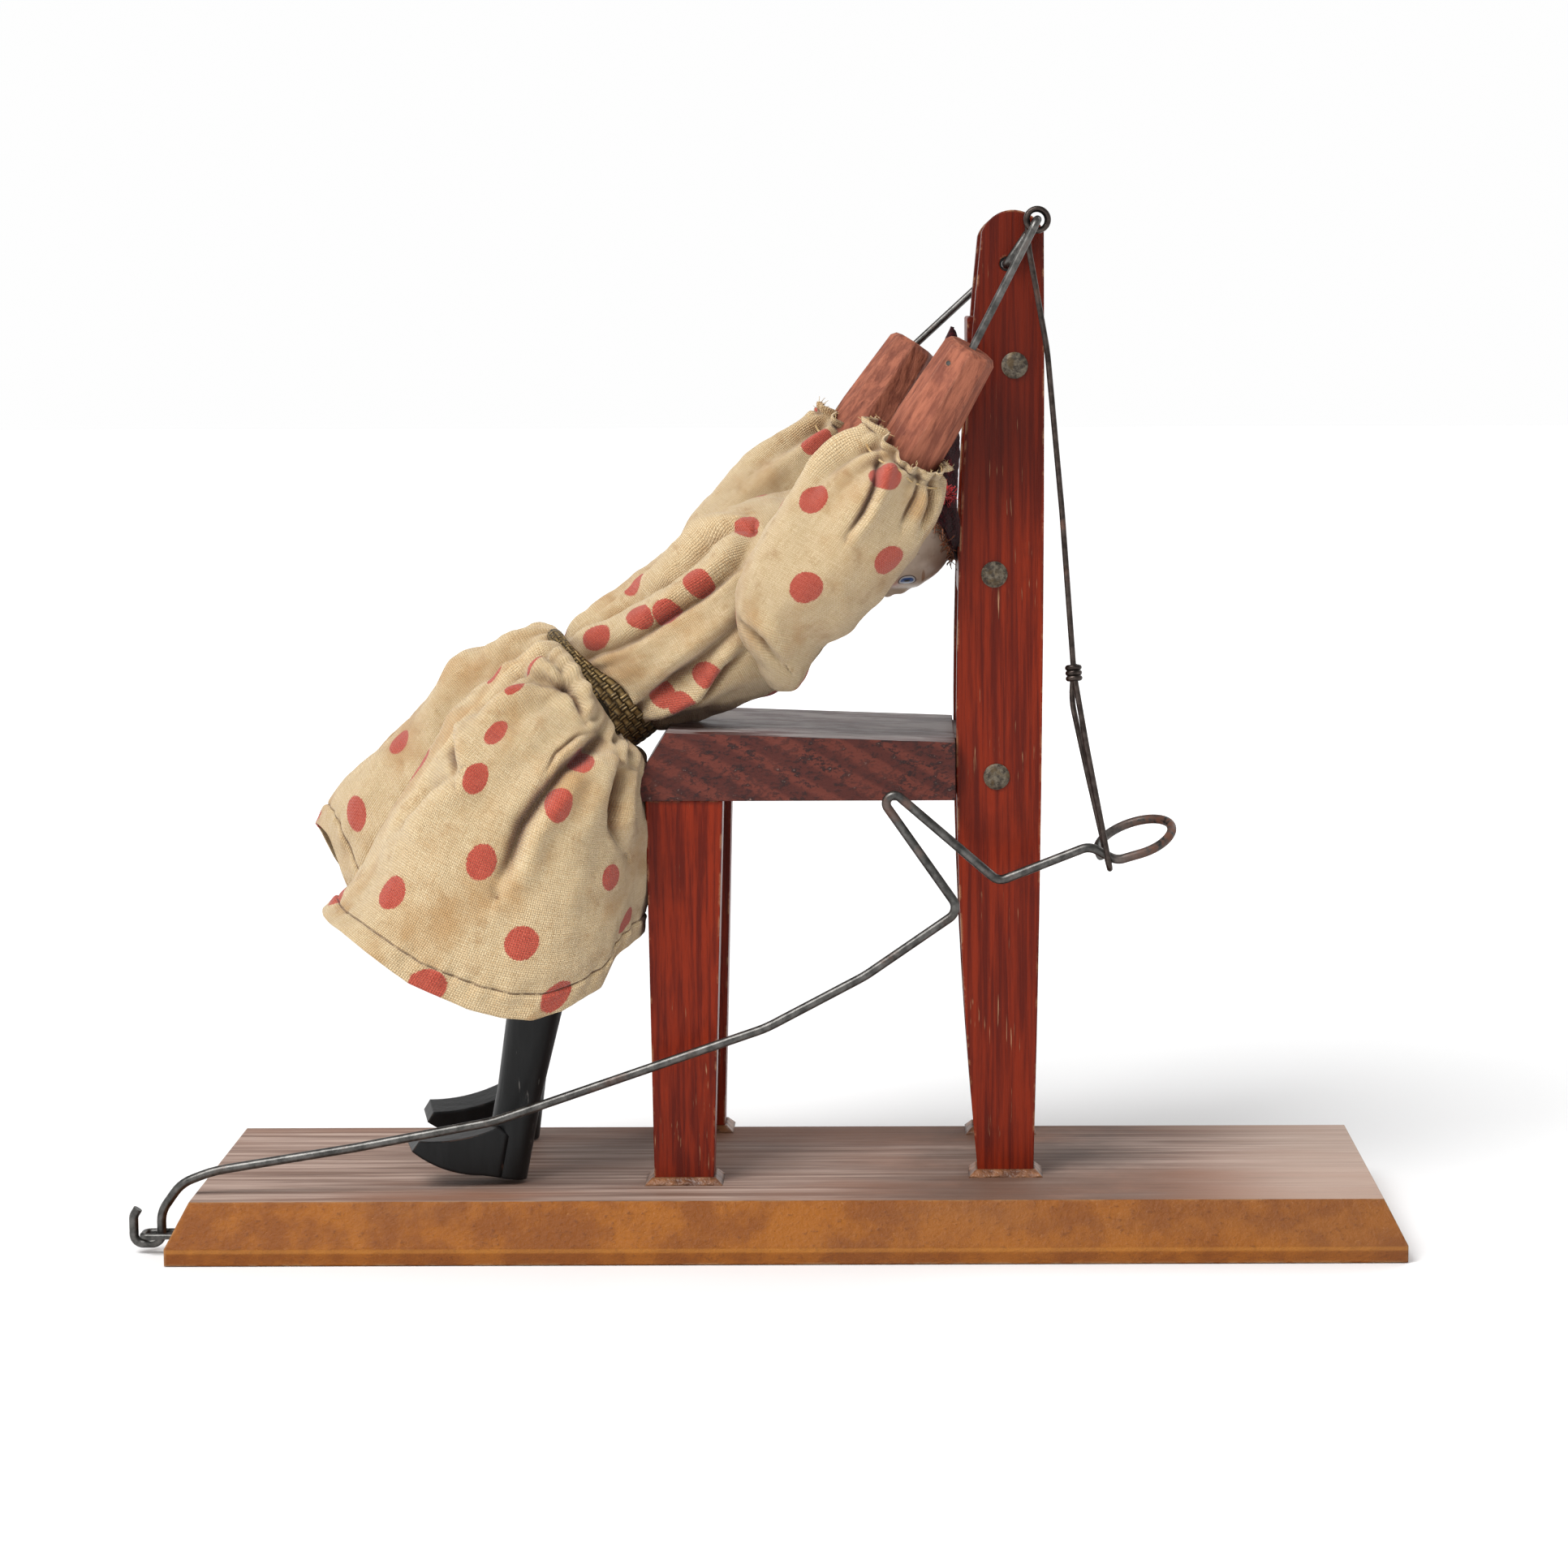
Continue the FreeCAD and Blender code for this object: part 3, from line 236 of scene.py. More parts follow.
def srgb(red, green, blue):
    """How much light a surface returns that shows as this 8-bit colour in the studio's light."""
    return tuple(ALBEDO * ((c / 255 + 0.055) / 1.055) ** 2.4 for c in (red, green, blue))


# ---- wood, paint and wire
def base_wood():
    g = Graph("base_wood")
    place = g.coords()
    grain = g.noise(g.stretch(place, (14, 420, 420)), 1.0, 5, 0.62, 0.3)
    fine = g.noise(g.stretch(place, (40, 1500, 1500)), 1.0, 3, 0.6)
    blotch = g.noise(place, 28, 4, 0.6)
    wide = g.noise(g.stretch(place, (9, 24, 40)), 1.0, 3, 0.55)
    top = g.mix(g.band(grain, 0.36, 0.66), srgb(134, 106, 92), srgb(192, 166, 152))
    top = g.mix(g.band(wide, 0.42, 0.66), top, srgb(150, 108, 86))
    top = g.tint(top, g.band(fine, 0.56, 0.7), 0.55, srgb(88, 62, 50))
    middle = g.inverse(g.band(g.size(g.less(g.split(place)[0], 0.055)), 0.012, 0.052))
    pale = g.band(g.split(place)[0], 0.085, 0.125)
    top = g.tint(top, pale, 0.5, srgb(216, 192, 176))
    # the top darker in blotches across its middle
    middle_blotches = g.times(middle, g.band(blotch, 0.34, 0.62))
    top = g.tint(top, middle_blotches, 0.55, srgb(84, 70, 62))
    speck = g.noise(g.stretch(place, (1.0, 1.0, 1.4)), 620, 4, 0.7)
    cloud = g.noise(place, 75, 4, 0.65)
    side = g.mix(g.band(cloud, 0.38, 0.62), srgb(136, 76, 24), srgb(162, 96, 28))
    side = g.tint(side, g.band(wide, 0.45, 0.7), 0.4, srgb(126, 84, 56))
    side = g.tint(side, g.band(speck, 0.56, 0.7), 0.55, srgb(104, 58, 30))
    side = g.tint(side, g.band(speck, 0.36, 0.26), 0.45, srgb(190, 132, 78))
    # a painted highlight along the arris of the square lower edge under the bevel, and painted shade on
    # the strip below it
    edge_glint = g.size(g.less(g.split(place)[2], 0.0032))
    side = g.tint(side, g.band(edge_glint, 0.0007, 0.0002), 0.35, srgb(206, 140, 66))
    side = g.tint(side, g.band(g.split(place)[2], 0.0030, 0.0020), 0.3, srgb(120, 62, 20))
    facing = g.split(g.normal())[2]
    color = g.mix(g.band(facing, 0.75, 0.9), side, top)
    worn = g.times(g.edges(0.0012), g.band(g.noise(place, 160, 3), 0.42, 0.6))
    color = g.tint(color, worn, 0.5, srgb(206, 170, 124))
    rough = g.lerp(g.band(facing, 0.75, 0.9), 0.46, 0.62)
    relief = g.plus(g.times(grain, 0.7), g.times(fine, 0.3))
    relief = g.lerp(g.band(facing, 0.75, 0.9), speck, relief)
    return g.finish(color, rough, normal=g.bump(relief, 0.0008, 0.6, g.round_edges(0.0007)),
        specular=0.2)


def painted_wood(name, grain_scale, dark, light, bare, seat=False):
    """Old red-brown paint over wood whose grain runs along the low number of grain_scale."""
    g = Graph(name)
    place = g.coords()
    along = tuple(grain_scale)
    grain = g.noise(g.stretch(place, along), 1.0, 5, 0.62, 0.25)
    streak = g.noise(g.stretch(place, tuple(x * 2.6 for x in along)), 1.0, 3, 0.6)
    blotch = g.noise(place, 45, 4, 0.6)
    color = g.mix(g.band(grain, 0.36, 0.64), dark, light)
    color = g.tint(color, g.band(blotch, 0.5, 0.7), 0.35, tuple(x * 0.5 for x in dark))
    color = g.tint(color, g.band(streak, 0.6, 0.7), 0.35, tuple(x * 0.42 for x in dark))
    # the uprights darker above the arms: painted shade of the arms, with dark burnish from handling
    high = g.band(g.split(place)[2], 0.150, 0.190)
    color = g.tint(color, high, 0.55, tuple(x * 0.45 for x in dark))
    rub = g.noise(place, 120, 4, 0.7)
    edge = g.edges(0.0011, 0.03, 0.2)
    bare_edge = g.times(edge, g.band(rub, 0.50, 0.60))
    scratch = g.times(g.band(streak, 0.63, 0.70), g.band(g.noise(place, 70, 3), 0.54, 0.64))
    wear = g.math("MAXIMUM", g.times(bare_edge, 0.85), g.times(scratch, 0.75))
    color = g.mix(wear, color, bare)
    rough = g.lerp(wear, 0.36, 0.7)
    relief = g.plus(g.times(grain, 0.6), g.times(streak, 0.4))
    relief = g.less(relief, g.times(wear, 0.4))
    height, strength = 0.0004, 0.5
    if seat:
        # end grain on the long faces; on the top a grey tint, partly worn paint and partly painted
        # sheen, and pale patches of painted sheen
        parts = g.split(place)
        slant = g.plus(g.times(parts[0], 0.55), parts[2])
        rings = g.node("TexWave", {"wave_type": "BANDS", "bands_direction": "X"},
            Vector=g.node("CombineXYZ", None, X=slant).outputs[0], Scale=48.0, Distortion=3.5,
            Detail=4.0, Detail_Scale=3.0).outputs[1]
        pores = g.noise(g.stretch(place, (1.0, 1.0, 1.6)), 520, 5, 0.75)
        clumps = g.noise(place, 90, 3, 0.6)
        end = g.tint(srgb(84, 34, 26), g.band(rings, 0.2, 0.9), 0.45, srgb(132, 62, 46))
        rough_part = g.band(clumps, 0.44, 0.58)
        end = g.tint(end, g.band(pores, 0.48, 0.58), g.lerp(rough_part, 0.5, 0.95), srgb(40, 18, 18))
        end = g.tint(end, g.band(pores, 0.64, 0.7), g.lerp(rough_part, 0.2, 0.8), srgb(172, 140, 128))
        facing = g.split(g.normal())
        is_end = g.band(g.size(facing[1]), 0.6, 0.8)
        is_top = g.band(facing[2], 0.7, 0.9)
        # the pale grey patches on the top are painted sheen
        sheen_noise = g.noise(g.stretch(place, (42, 110, 60)), 1.0, 5, 0.66)
        sheen = g.times(is_top, g.band(sheen_noise, 0.42, 0.6))
        color = g.mix(is_end, color, end)
        color = g.tint(color, is_top, 0.6, srgb(74, 44, 42))
        color = g.tint(color, sheen, 0.8, srgb(176, 166, 164))
        rough = g.lerp(is_end, g.lerp(is_top, rough, 0.42), 0.8)
        relief = g.lerp(is_end, relief, pores)
        height, strength = 0.0009, 0.75
    return g.finish(color, rough, normal=g.bump(relief, height, strength, g.round_edges(0.0006)),
        specular=0.42 if seat else 0.14)


def arm_wood():
    g = Graph("arm_wood")
    place = g.coords()
    grain = g.noise(g.along(place, (0.47, -0.17, 0.86), 90, 620), 1.0, 5, 0.65, 0.3)
    fleck = g.noise(g.along(place, (0.47, -0.17, 0.86), 260, 1100), 1.0, 4, 0.7)
    blotch = g.noise(place, 130, 4, 0.6)
    color = g.mix(g.band(grain, 0.34, 0.66), srgb(124, 66, 48), srgb(174, 104, 78))
    color = g.tint(color, g.band(blotch, 0.54, 0.7), 0.55, srgb(112, 58, 46))
    color = g.tint(color, g.band(fleck, 0.6, 0.7), 0.6, srgb(96, 48, 38))
    worn = g.times(g.edges(0.0008, 0.02, 0.2), g.band(blotch, 0.42, 0.56))
    color = g.tint(color, worn, 0.7, srgb(206, 150, 122))
    relief = g.plus(g.times(grain, 0.6), g.times(fleck, 0.4))
    return g.finish(color, 0.7, normal=g.bump(relief, 0.0009, 0.7, g.round_edges(0.0012)), specular=0.3)


def black_wood():
    g = Graph("black_wood")
    place = g.coords()
    grain = g.noise(g.stretch(place, (420, 420, 60)), 1.0, 4, 0.6)
    marks = g.noise(g.stretch(place, (900, 900, 70)), 1.0, 4, 0.7)
    color = g.mix(g.band(grain, 0.35, 0.7), srgb(6, 7, 8), srgb(18, 19, 20))
    scuff = g.times(g.band(marks, 0.66, 0.74), 0.5)
    color = g.mix(scuff, color, srgb(150, 146, 142))
    edge = g.times(g.edges(0.0006, 0.02, 0.2), g.band(g.noise(place, 240, 3), 0.5, 0.62))
    color = g.tint(color, edge, 0.7, srgb(108, 76, 60))
    return g.finish(color, g.lerp(scuff, 0.42, 0.7), normal=g.bump(grain, 0.0003, 0.5,
        g.round_edges(0.0009)), specular=0.26)


def bare_wood():
    g = Graph("bare_wood")
    place = g.coords()
    grain = g.noise(g.stretch(place, (90, 420, 420)), 1.0, 4, 0.6)
    color = g.mix(g.band(grain, 0.35, 0.65), srgb(170, 128, 84), srgb(204, 164, 116))
    return g.finish(color, 0.7, normal=g.bump(grain, 0.0004, 0.5))


def steel(name, dark, light, rust, ring=False):
    g = Graph(name)
    place = g.coords()
    mottle = g.noise(place, 420, 4, 0.65)
    patch = g.noise(place, 95, 4, 0.6)
    color = g.mix(g.band(mottle, 0.3, 0.7), dark, light)
    amount = g.times(g.band(patch, 0.58, 0.72), rust)
    if ring:
        # the ring that the finger holds is rustier
        near = g.band(g.split(place)[0], 0.070, 0.086)
        amount = g.math("MAXIMUM", amount, g.times(near, g.band(mottle, 0.34, 0.56)))
    color = g.mix(amount, color, srgb(104, 66, 48))
    rough = g.lerp(amount, g.lerp(mottle, 0.3, 0.46), 0.7)
    metal = g.less(0.95, g.times(amount, 0.7))
    return g.finish(color, rough, metal, g.bump(mottle, 0.00006, 0.5))


def nail_steel():
    g = Graph("nail_steel")
    place = g.coords()
    mottle = g.noise(place, 700, 4, 0.7)
    patch = g.noise(place, 260, 3, 0.6)
    color = g.mix(g.band(mottle, 0.38, 0.62), srgb(58, 50, 42), srgb(120, 110, 94))
    color = g.tint(color, g.band(patch, 0.54, 0.66), 0.6, srgb(96, 76, 44))
    return g.finish(color, 0.55, 0.5, g.bump(mottle, 0.0003, 0.7))


def glue():
    g = Graph("glue")
    place = g.coords()
    lumps = g.noise(place, 260, 4, 0.6)
    color = g.mix(g.band(lumps, 0.35, 0.65), srgb(98, 58, 34), srgb(156, 104, 66))
    return g.finish(color, 0.42, normal=g.bump(lumps, 0.0012, 0.8, g.round_edges(0.001)))


# ---- cloth
# millimetres between threads, and the radius of a printed spot
THREAD = 0.45
DOT_RADIUS = 4.05
STITCH = {"pitch": 3.2, "width": 0.2}
HEM_STITCH = 0.898
# flat sizes of the cut cloth
TROUSER_SHEET, BLOUSE_SHEET, SLEEVE_SHEET, CAP_SHEET = (186.0, 78.0), (150.0, 76.0), (104.0,
    72.0), (78.0, 58.0)


def linen(name, dots, stitch_v=None, seed=0.0, radius=DOT_RADIUS):
    """Plain-weave linen with red spots. UVs are in millimetres of cloth."""
    g = Graph(name)
    place = g.uv()
    parts = g.split(place)
    jitter = g.noise(g.stretch(place, (0.25, 2.2, 1)), 1.0, 2, 0.5)
    jitter_v = g.noise(g.stretch(place, (2.2, 0.25, 1)), 1.0, 2, 0.5)
    u_line = g.plus(parts[0], g.times(jitter, 0.22))
    v_line = g.plus(parts[1], g.times(jitter_v, 0.22))
    warp = g.size(g.math("SINE", g.times(u_line, math.pi / THREAD)))
    weft = g.size(g.math("SINE", g.times(v_line, math.pi / THREAD)))
    cells = g.node("CombineXYZ", None, X=u_line, Y=v_line).outputs[0]
    over = g.node("TexChecker", None, Vector=cells, Scale=1 / THREAD).outputs[1]
    threads = g.lerp(over, g.times(warp, g.lerp(0.55, weft, 1.0)),
        g.times(weft, g.lerp(0.55, warp, 1.0)))
    slub_u = g.noise(g.stretch(place, (3.6, 0.22, 1)), 1.0, 2, 0.6)
    slub_v = g.noise(g.stretch(place, (0.22, 3.6, 1)), 1.0, 2, 0.6)
    slub = g.lerp(over, slub_u, slub_v)
    cloth = g.mix(g.band(slub, 0.3, 0.7), srgb(216, 183, 136), srgb(243, 219, 176))
    shifted = g.vector("ADD", place, (seed, seed * 2.0, 0.0))
    stain = g.noise(g.stretch(shifted, (0.045, 0.045, 1)), 1.0, 4, 0.62)
    small_stain = g.noise(g.stretch(shifted, (0.13, 0.13, 1)), 1.0, 4, 0.65)
    cloth = g.tint(cloth, g.band(stain, 0.47, 0.68), 0.8, srgb(206, 162, 108))
    cloth = g.tint(cloth, g.band(small_stain, 0.55, 0.72), 0.5, srgb(182, 134, 80))
    nearest = None
    for dot in dots:
        reach = g.vector("DISTANCE", place, (dot[0], dot[1], 0.0))
        if len(dot) > 2:
            reach = g.math("DIVIDE", reach, dot[2])
        nearest = reach if nearest is None else g.math("MINIMUM", nearest, reach)
    if nearest is not None:
        ragged = g.plus(nearest, g.times(g.less(slub, 0.5), 0.9))
        spot = g.inverse(g.band(ragged, radius - 0.16, radius + 0.16))
        red = g.mix(g.band(slub, 0.32, 0.68), srgb(188, 62, 48), srgb(216, 92, 72))
        spot = g.times(spot, g.lerp(g.band(threads, 0.0, 0.35), 0.72, 0.97))
        cloth = g.mix(spot, cloth, red)
    if stitch_v is not None:
        off = g.size(g.less(parts[1], stitch_v))
        dash = g.math("LESS_THAN", g.math("FRACT", g.math("DIVIDE", parts[0], STITCH["pitch"])), 0.72)
        seam = g.times(dash, g.inverse(g.band(off, STITCH["width"], STITCH["width"] + 0.15)))
        cloth = g.tint(cloth, seam, 0.65, srgb(120, 84, 50))
    cloth = g.tint(cloth, g.inverse(g.band(threads, 0.05, 0.55)), 0.6,
        g.mix(0.55, cloth, srgb(92, 62, 34), "MULTIPLY"))
    # painted shade in the hollows of the folds, darker where the cloth closes in round a point
    fold_shade = g.node("AmbientOcclusion", {"samples": 8}, Distance=0.007).outputs["AO"]
    cloth = g.mix(g.band(fold_shade, 0.85, 0.3), cloth, g.mix(0.8, cloth, srgb(150, 104, 66), "MULTIPLY"))
    slack = g.noise(g.stretch(shifted, (0.35, 0.35, 1)), 1.0, 4, 0.6)
    normal = g.bump(slack, 0.0008, 0.35)
    normal = g.bump(threads, 0.0003, 0.8, normal)
    return g.finish(cloth, 0.92, normal=normal, sheen=0.25, specular=0.2)


def velvet():
    g = Graph("velvet")
    place = g.coords()
    pile = g.noise(place, 1500, 3, 0.7)
    patch = g.noise(place, 190, 4, 0.6)
    color = g.mix(g.band(pile, 0.35, 0.65), srgb(26, 7, 11), srgb(70, 14, 22))
    color = g.tint(color, g.band(patch, 0.58, 0.68), 0.6, srgb(150, 22, 34))
    return g.finish(color, 0.9, normal=g.bump(pile, 0.0006, 0.9), sheen=0.12, specular=0.1)


def wool(name, dark, light):
    g = Graph(name)
    place = g.coords()
    fibre = g.noise(place, 900, 3, 0.7)
    color = g.mix(g.band(fibre, 0.35, 0.65), dark, light)
    return g.finish(color, 0.9, normal=g.bump(fibre, 0.0003, 0.7), sheen=0.5, specular=0.15)


def braid():
    """Flat metal threads in a basket weave, tarnished."""
    g = Graph("braid")
    place = g.uv()
    parts = g.split(place)
    warp = g.size(g.math("SINE", g.times(parts[0], math.pi / 0.8)))
    weft = g.size(g.math("SINE", g.times(parts[1], math.pi / 1.5)))
    cells = g.node("CombineXYZ", None, X=g.math("DIVIDE", parts[0], 1.6),
        Y=g.math("DIVIDE", parts[1], 1.5)).outputs[0]
    over = g.node("TexChecker", None, Vector=cells, Scale=1.0).outputs[1]
    threads = g.lerp(over, warp, weft)
    tarnish = g.noise(g.stretch(place, (0.5, 0.5, 1)), 1.0, 4, 0.65)
    color = g.mix(g.band(threads, 0.15, 0.85), srgb(38, 28, 18), srgb(150, 124, 78))
    color = g.tint(color, g.band(tarnish, 0.46, 0.62), 0.75, srgb(78, 62, 38))
    return g.finish(color, 0.45, 0.55, g.bump(threads, 0.0006, 0.9))


def frayed():
    g = Graph("frayed_thread")
    place = g.coords()
    fibre = g.noise(place, 1400, 3, 0.6)
    color = g.mix(g.band(fibre, 0.35, 0.65), srgb(176, 140, 88), srgb(222, 196, 148))
    return g.finish(color, 0.9, normal=g.bump(fibre, 0.0002, 0.6), sheen=0.3, specular=0.2)


# ---- meshes
def add_object(name, data):
    made = bpy.data.objects.new(name, data)
    bpy.context.scene.collection.objects.link(made)
    return made


def grid(nu, nv, start=0.0, end=1.0):
    """u round a piece and v along it, each as one value for each point."""
    u = np.linspace(0, 1, nu, endpoint=False)[:, None] * np.ones(nv)
    return u, np.ones(nu)[:, None] * np.linspace(start, end, nv)


def ring_quads(nu, nv):
    """The quads of a grid that closes round u, with their column and row numbers."""
    i, j = np.meshgrid(np.arange(nu), np.arange(nv - 1), indexing="ij")
    after = (i + 1) % nu
    return i, j, np.stack([i * nv + j, after * nv + j, after * nv + j + 1, i * nv + j + 1], -1)


def end_caps(nu, nv):
    """The rings of point numbers at the two ends of such a grid."""
    return [list(range(0, nu * nv, nv)), list(range(nv - 1, nu * nv, nv))]


def piece_from(name, points, faces, uvs, material, soft=True):
    mesh = bpy.data.meshes.new(name)
    mesh.from_pydata([tuple(p) for p in points], [], faces)
    mesh.validate()
    if uvs is not None:
        layer = mesh.uv_layers.new(name="cloth")
        layer.data.foreach_set("uv", np.asarray(uvs, np.float32).ravel())
    if soft:
        mesh.shade_smooth()
    mesh.materials.append(material)
    return add_object(name, mesh)


def grid_piece(name, points, flat_u, flat_v, material):
    """A sheet from points[u, v] in doll mm. flat_u and flat_v: cloth size at each column and row."""
    i, j, quads = ring_quads(*points.shape[:2])
    uv = np.stack([np.stack([flat_u[a], flat_v[b]], -1) for a, b in ((i, j), (i + 1, j), (i + 1, j + 1),
        (i, j + 1))], -2)
    return piece_from(name, to_row(points.reshape(-1, 3)), quads.reshape(-1, 4).tolist(),
        uv.reshape(-1, 2), material)


def outward(points):
    """Unit normals of a grid of points, away from each ring's middle."""
    along_u = np.roll(points, -1, 0) - np.roll(points, 1, 0)
    normal = np.cross(along_u, np.gradient(points, axis=1))
    normal /= np.linalg.norm(normal, axis=-1, keepdims=True) + 1e-12
    away = points - points.mean(axis=0, keepdims=True)
    return normal * np.sign((normal * away).sum(-1).mean())


def wander(points, size, seed, octaves=3):
    """Smooth noise of about -1 to 1 at points, from seeded waves."""
    rng = np.random.default_rng(seed)
    total = np.zeros(points.shape[:-1])
    for octave in range(octaves):
        for _ in range(6):
            direction = rng.normal(size=3)
            direction *= TAU * 2 ** octave / size / np.linalg.norm(direction)
            total += np.sin(points @ direction + rng.uniform(0, TAU)) * 0.5 ** octave
    return total / 4.2


def gathers(u, v, count, seed, width, fade, at=0.0, drift=0.02):
    """Ridges that start at a gathered edge and fade over v."""
    rng = np.random.default_rng(seed)
    total = np.zeros_like(u)
    distance = np.abs(v - at)
    for number in range(count):
        centre = (number + rng.uniform(-0.3, 0.3)) / count
        reach = fade * rng.uniform(0.35, 1.5)
        wide = width / count * rng.uniform(0.7, 1.2)
        turn = rng.normal(0, drift)
        off = (u - centre - turn * distance / fade + 0.5) % 1 - 0.5
        spread = wide * (1 + 1.6 * distance / reach)
        total += rng.uniform(0.55, 1.0) * np.exp(-(off / spread) ** 2) * np.exp(-distance / reach)
    return total - total.mean(axis=0, keepdims=True) * 0.7


def crease(points, path, width, depth):
    """A fold on the near side along a path of (x, z): a hollow beside it and a lip across from it."""
    path = np.asarray(path, float)
    flat = points[..., [0, 2]]
    best = np.full(points.shape[:2], 1e9)
    signed = np.zeros(points.shape[:2])
    taper = np.zeros(points.shape[:2])
    lengths = np.concatenate([[0], np.cumsum(np.linalg.norm(np.diff(path, axis=0), axis=1))])
    for index in range(len(path) - 1):
        a, b = path[index], path[index + 1]
        run = b - a
        t = np.clip(((flat - a) @ run) / (run @ run), 0, 1)
        gap = flat - (a + t[..., None] * run)
        distance = np.linalg.norm(gap, axis=-1)
        nearer = distance < best
        best = np.where(nearer, distance, best)
        side = np.sign(run[0] * gap[..., 1] - run[1] * gap[..., 0])
        signed = np.where(nearer, side * distance, signed)
        share = (lengths[index] + t * np.linalg.norm(run)) / lengths[-1]
        taper = np.where(nearer, np.sin(np.pi * np.clip(share, 0.03, 0.97)) ** 0.6, taper)
    x = signed / width
    shape = -np.exp(-((x + 0.4) / 0.5) ** 2) + 0.75 * np.exp(-((x - 0.8) / 0.9) ** 2)
    middle = points[..., 1].mean(axis=0, keepdims=True)
    near_side = smooth(0.0, 4.0, middle - points[..., 1])
    return shape * depth * taper * near_side


def thicken(made, thickness=0.0005, offset=0.0):
    shell = made.modifiers.new("cloth_thickness", "SOLIDIFY")
    shell.thickness = thickness
    shell.offset = offset
    return made


def cloth_uv_at(points, flat_u, flat_v, spots, depth):
    """Cloth coordinates where the sight line through each (x, z) at a depth meets the cloth."""
    eye = np.array(camera.matrix_world.translation)
    rows = to_row(points.reshape(-1, 3)) - eye
    found = []
    for x, z, *size in spots:
        sight = to_row([x, depth, z]) - eye
        sight /= np.linalg.norm(sight)
        along = rows @ sight
        off = np.linalg.norm(rows - along[:, None] * sight, axis=1)
        close = np.maximum(off, 0.0009) * 1000 + along * 10
        i, j = np.unravel_index(np.argmin(close), points.shape[:2])
        found.append((float(flat_u[i]), float(flat_v[j]), *size))
    return found


def row_spacing(points, low, high, length):
    """Cloth height of each row, spread like the rows' real spacing between two columns."""
    steps = np.linalg.norm(np.diff(points[low:high], axis=1), axis=-1).mean(axis=0)
    run = np.concatenate([[0], np.cumsum(steps)])
    return run * length / run[-1]


def scatter(flat_u, flat_v, keep_clear, pitch, seed, seen):
    """The given spots and a staggered set that keeps off them and off the seen share of the width."""
    rng = np.random.default_rng(seed)
    spots = list(keep_clear)
    width, length = flat_u[-1], flat_v[-1]
    rows = int(length / (pitch * 0.72)) + 1
    columns = max(1, round(width / pitch))
    for row in range(rows + 1):
        for column in range(columns):
            u = (column + 0.5 * (row % 2) + 0.25) * width / columns + rng.uniform(-1.5, 1.5)
            v = row * pitch * 0.72 + rng.uniform(-1.5, 1.5)
            u %= width
            close = min([math.hypot(min(abs(u - dot[0]), width - abs(u - dot[0])), v
                - dot[1]) for dot in spots] or [99])
            if close < pitch * 0.66 or seen[0] < u / width < seen[1]:
                continue
            spots.append((u, v))
            if u < DOT_RADIUS:
                spots.append((u + width, v))
            if u > width - DOT_RADIUS:
                spots.append((u - width, v))
    return spots


def dress(made, body, slot_name, *nodes):
    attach(made, body)
    if nodes:
        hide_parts(*nodes)
    return made


# ---- trousers
# share of the length, x and z of the outline's front and back edge, and (x, z) along the hem
NEAR_FRONT = [(0, -60.4, -21.6), (0.03, -61.6, -20.8), (0.07, -66.5, -21.6), (0.14, -74.0, -26.8),
    (0.32, -87.0, -38.8), (0.55, -98.8, -56.6), (0.85, -111.6, -75.6), (1.0, -117.0, -79.6)]
NEAR_BACK = [(0, -46.2, -44.0), (0.03, -45.2, -45.6), (0.07, -44.2, -48.4), (0.14, -44.4, -51.0),
    (0.4, -43.9, -62.0), (0.7, -43.4, -74.0), (1.0, -46.4, -84.5)]
NEAR_HEM = [(-117.5, -78.6), (-113.3, -80.8), (-106.7, -85.4), (-99.4, -90.6), (-86.7, -96.4),
    (-79.1, -98.7), (-72.5, -99.6), (-65.3, -98.4), (-61.6, -96.8), (-55.6, -94.6), (-52.1, -89.6),
    (-46.0, -84.0)]
FAR_FRONT = [(0, -59.0, -20.8), (0.03, -59.8, -19.8), (0.07, -64.8, -21.4), (0.14, -72.0, -25.0),
    (0.32, -84.0, -32.8), (0.55, -95.4, -43.4), (0.85, -110.2, -60.0), (1.0, -113.4, -67.0)]
FAR_BACK = [(0, -44.8, -43.0), (0.03, -44.2, -44.4), (0.07, -44.0, -47.4), (0.14, -44.6, -50.5),
    (0.4, -44.4, -60.0), (0.7, -44.6, -71.0), (1.0, -47.6, -79.5)]
FAR_HEM = [(-113.6, -67.0), (-109.4, -77.5), (-106.0, -84.5), (-98.0, -92.8), (-88.7, -98.4),
    (-79.1, -99.6), (-70.5, -98.6), (-62.0, -95.0), (-54.0, -88.0), (-47.4, -79.0)]
# share of the length, half width across the leg, and how far its middle lies off the doll's
HALF_DEPTH = [(0, 7.6, 8.0), (0.03, 12.0, 12.2), (0.12, 15.2, 15.4), (0.24, 17.6, 18.0),
    (0.5, 19.0, 19.8), (0.8, 20.2, 21.2), (1, 20.4, 21.4)]

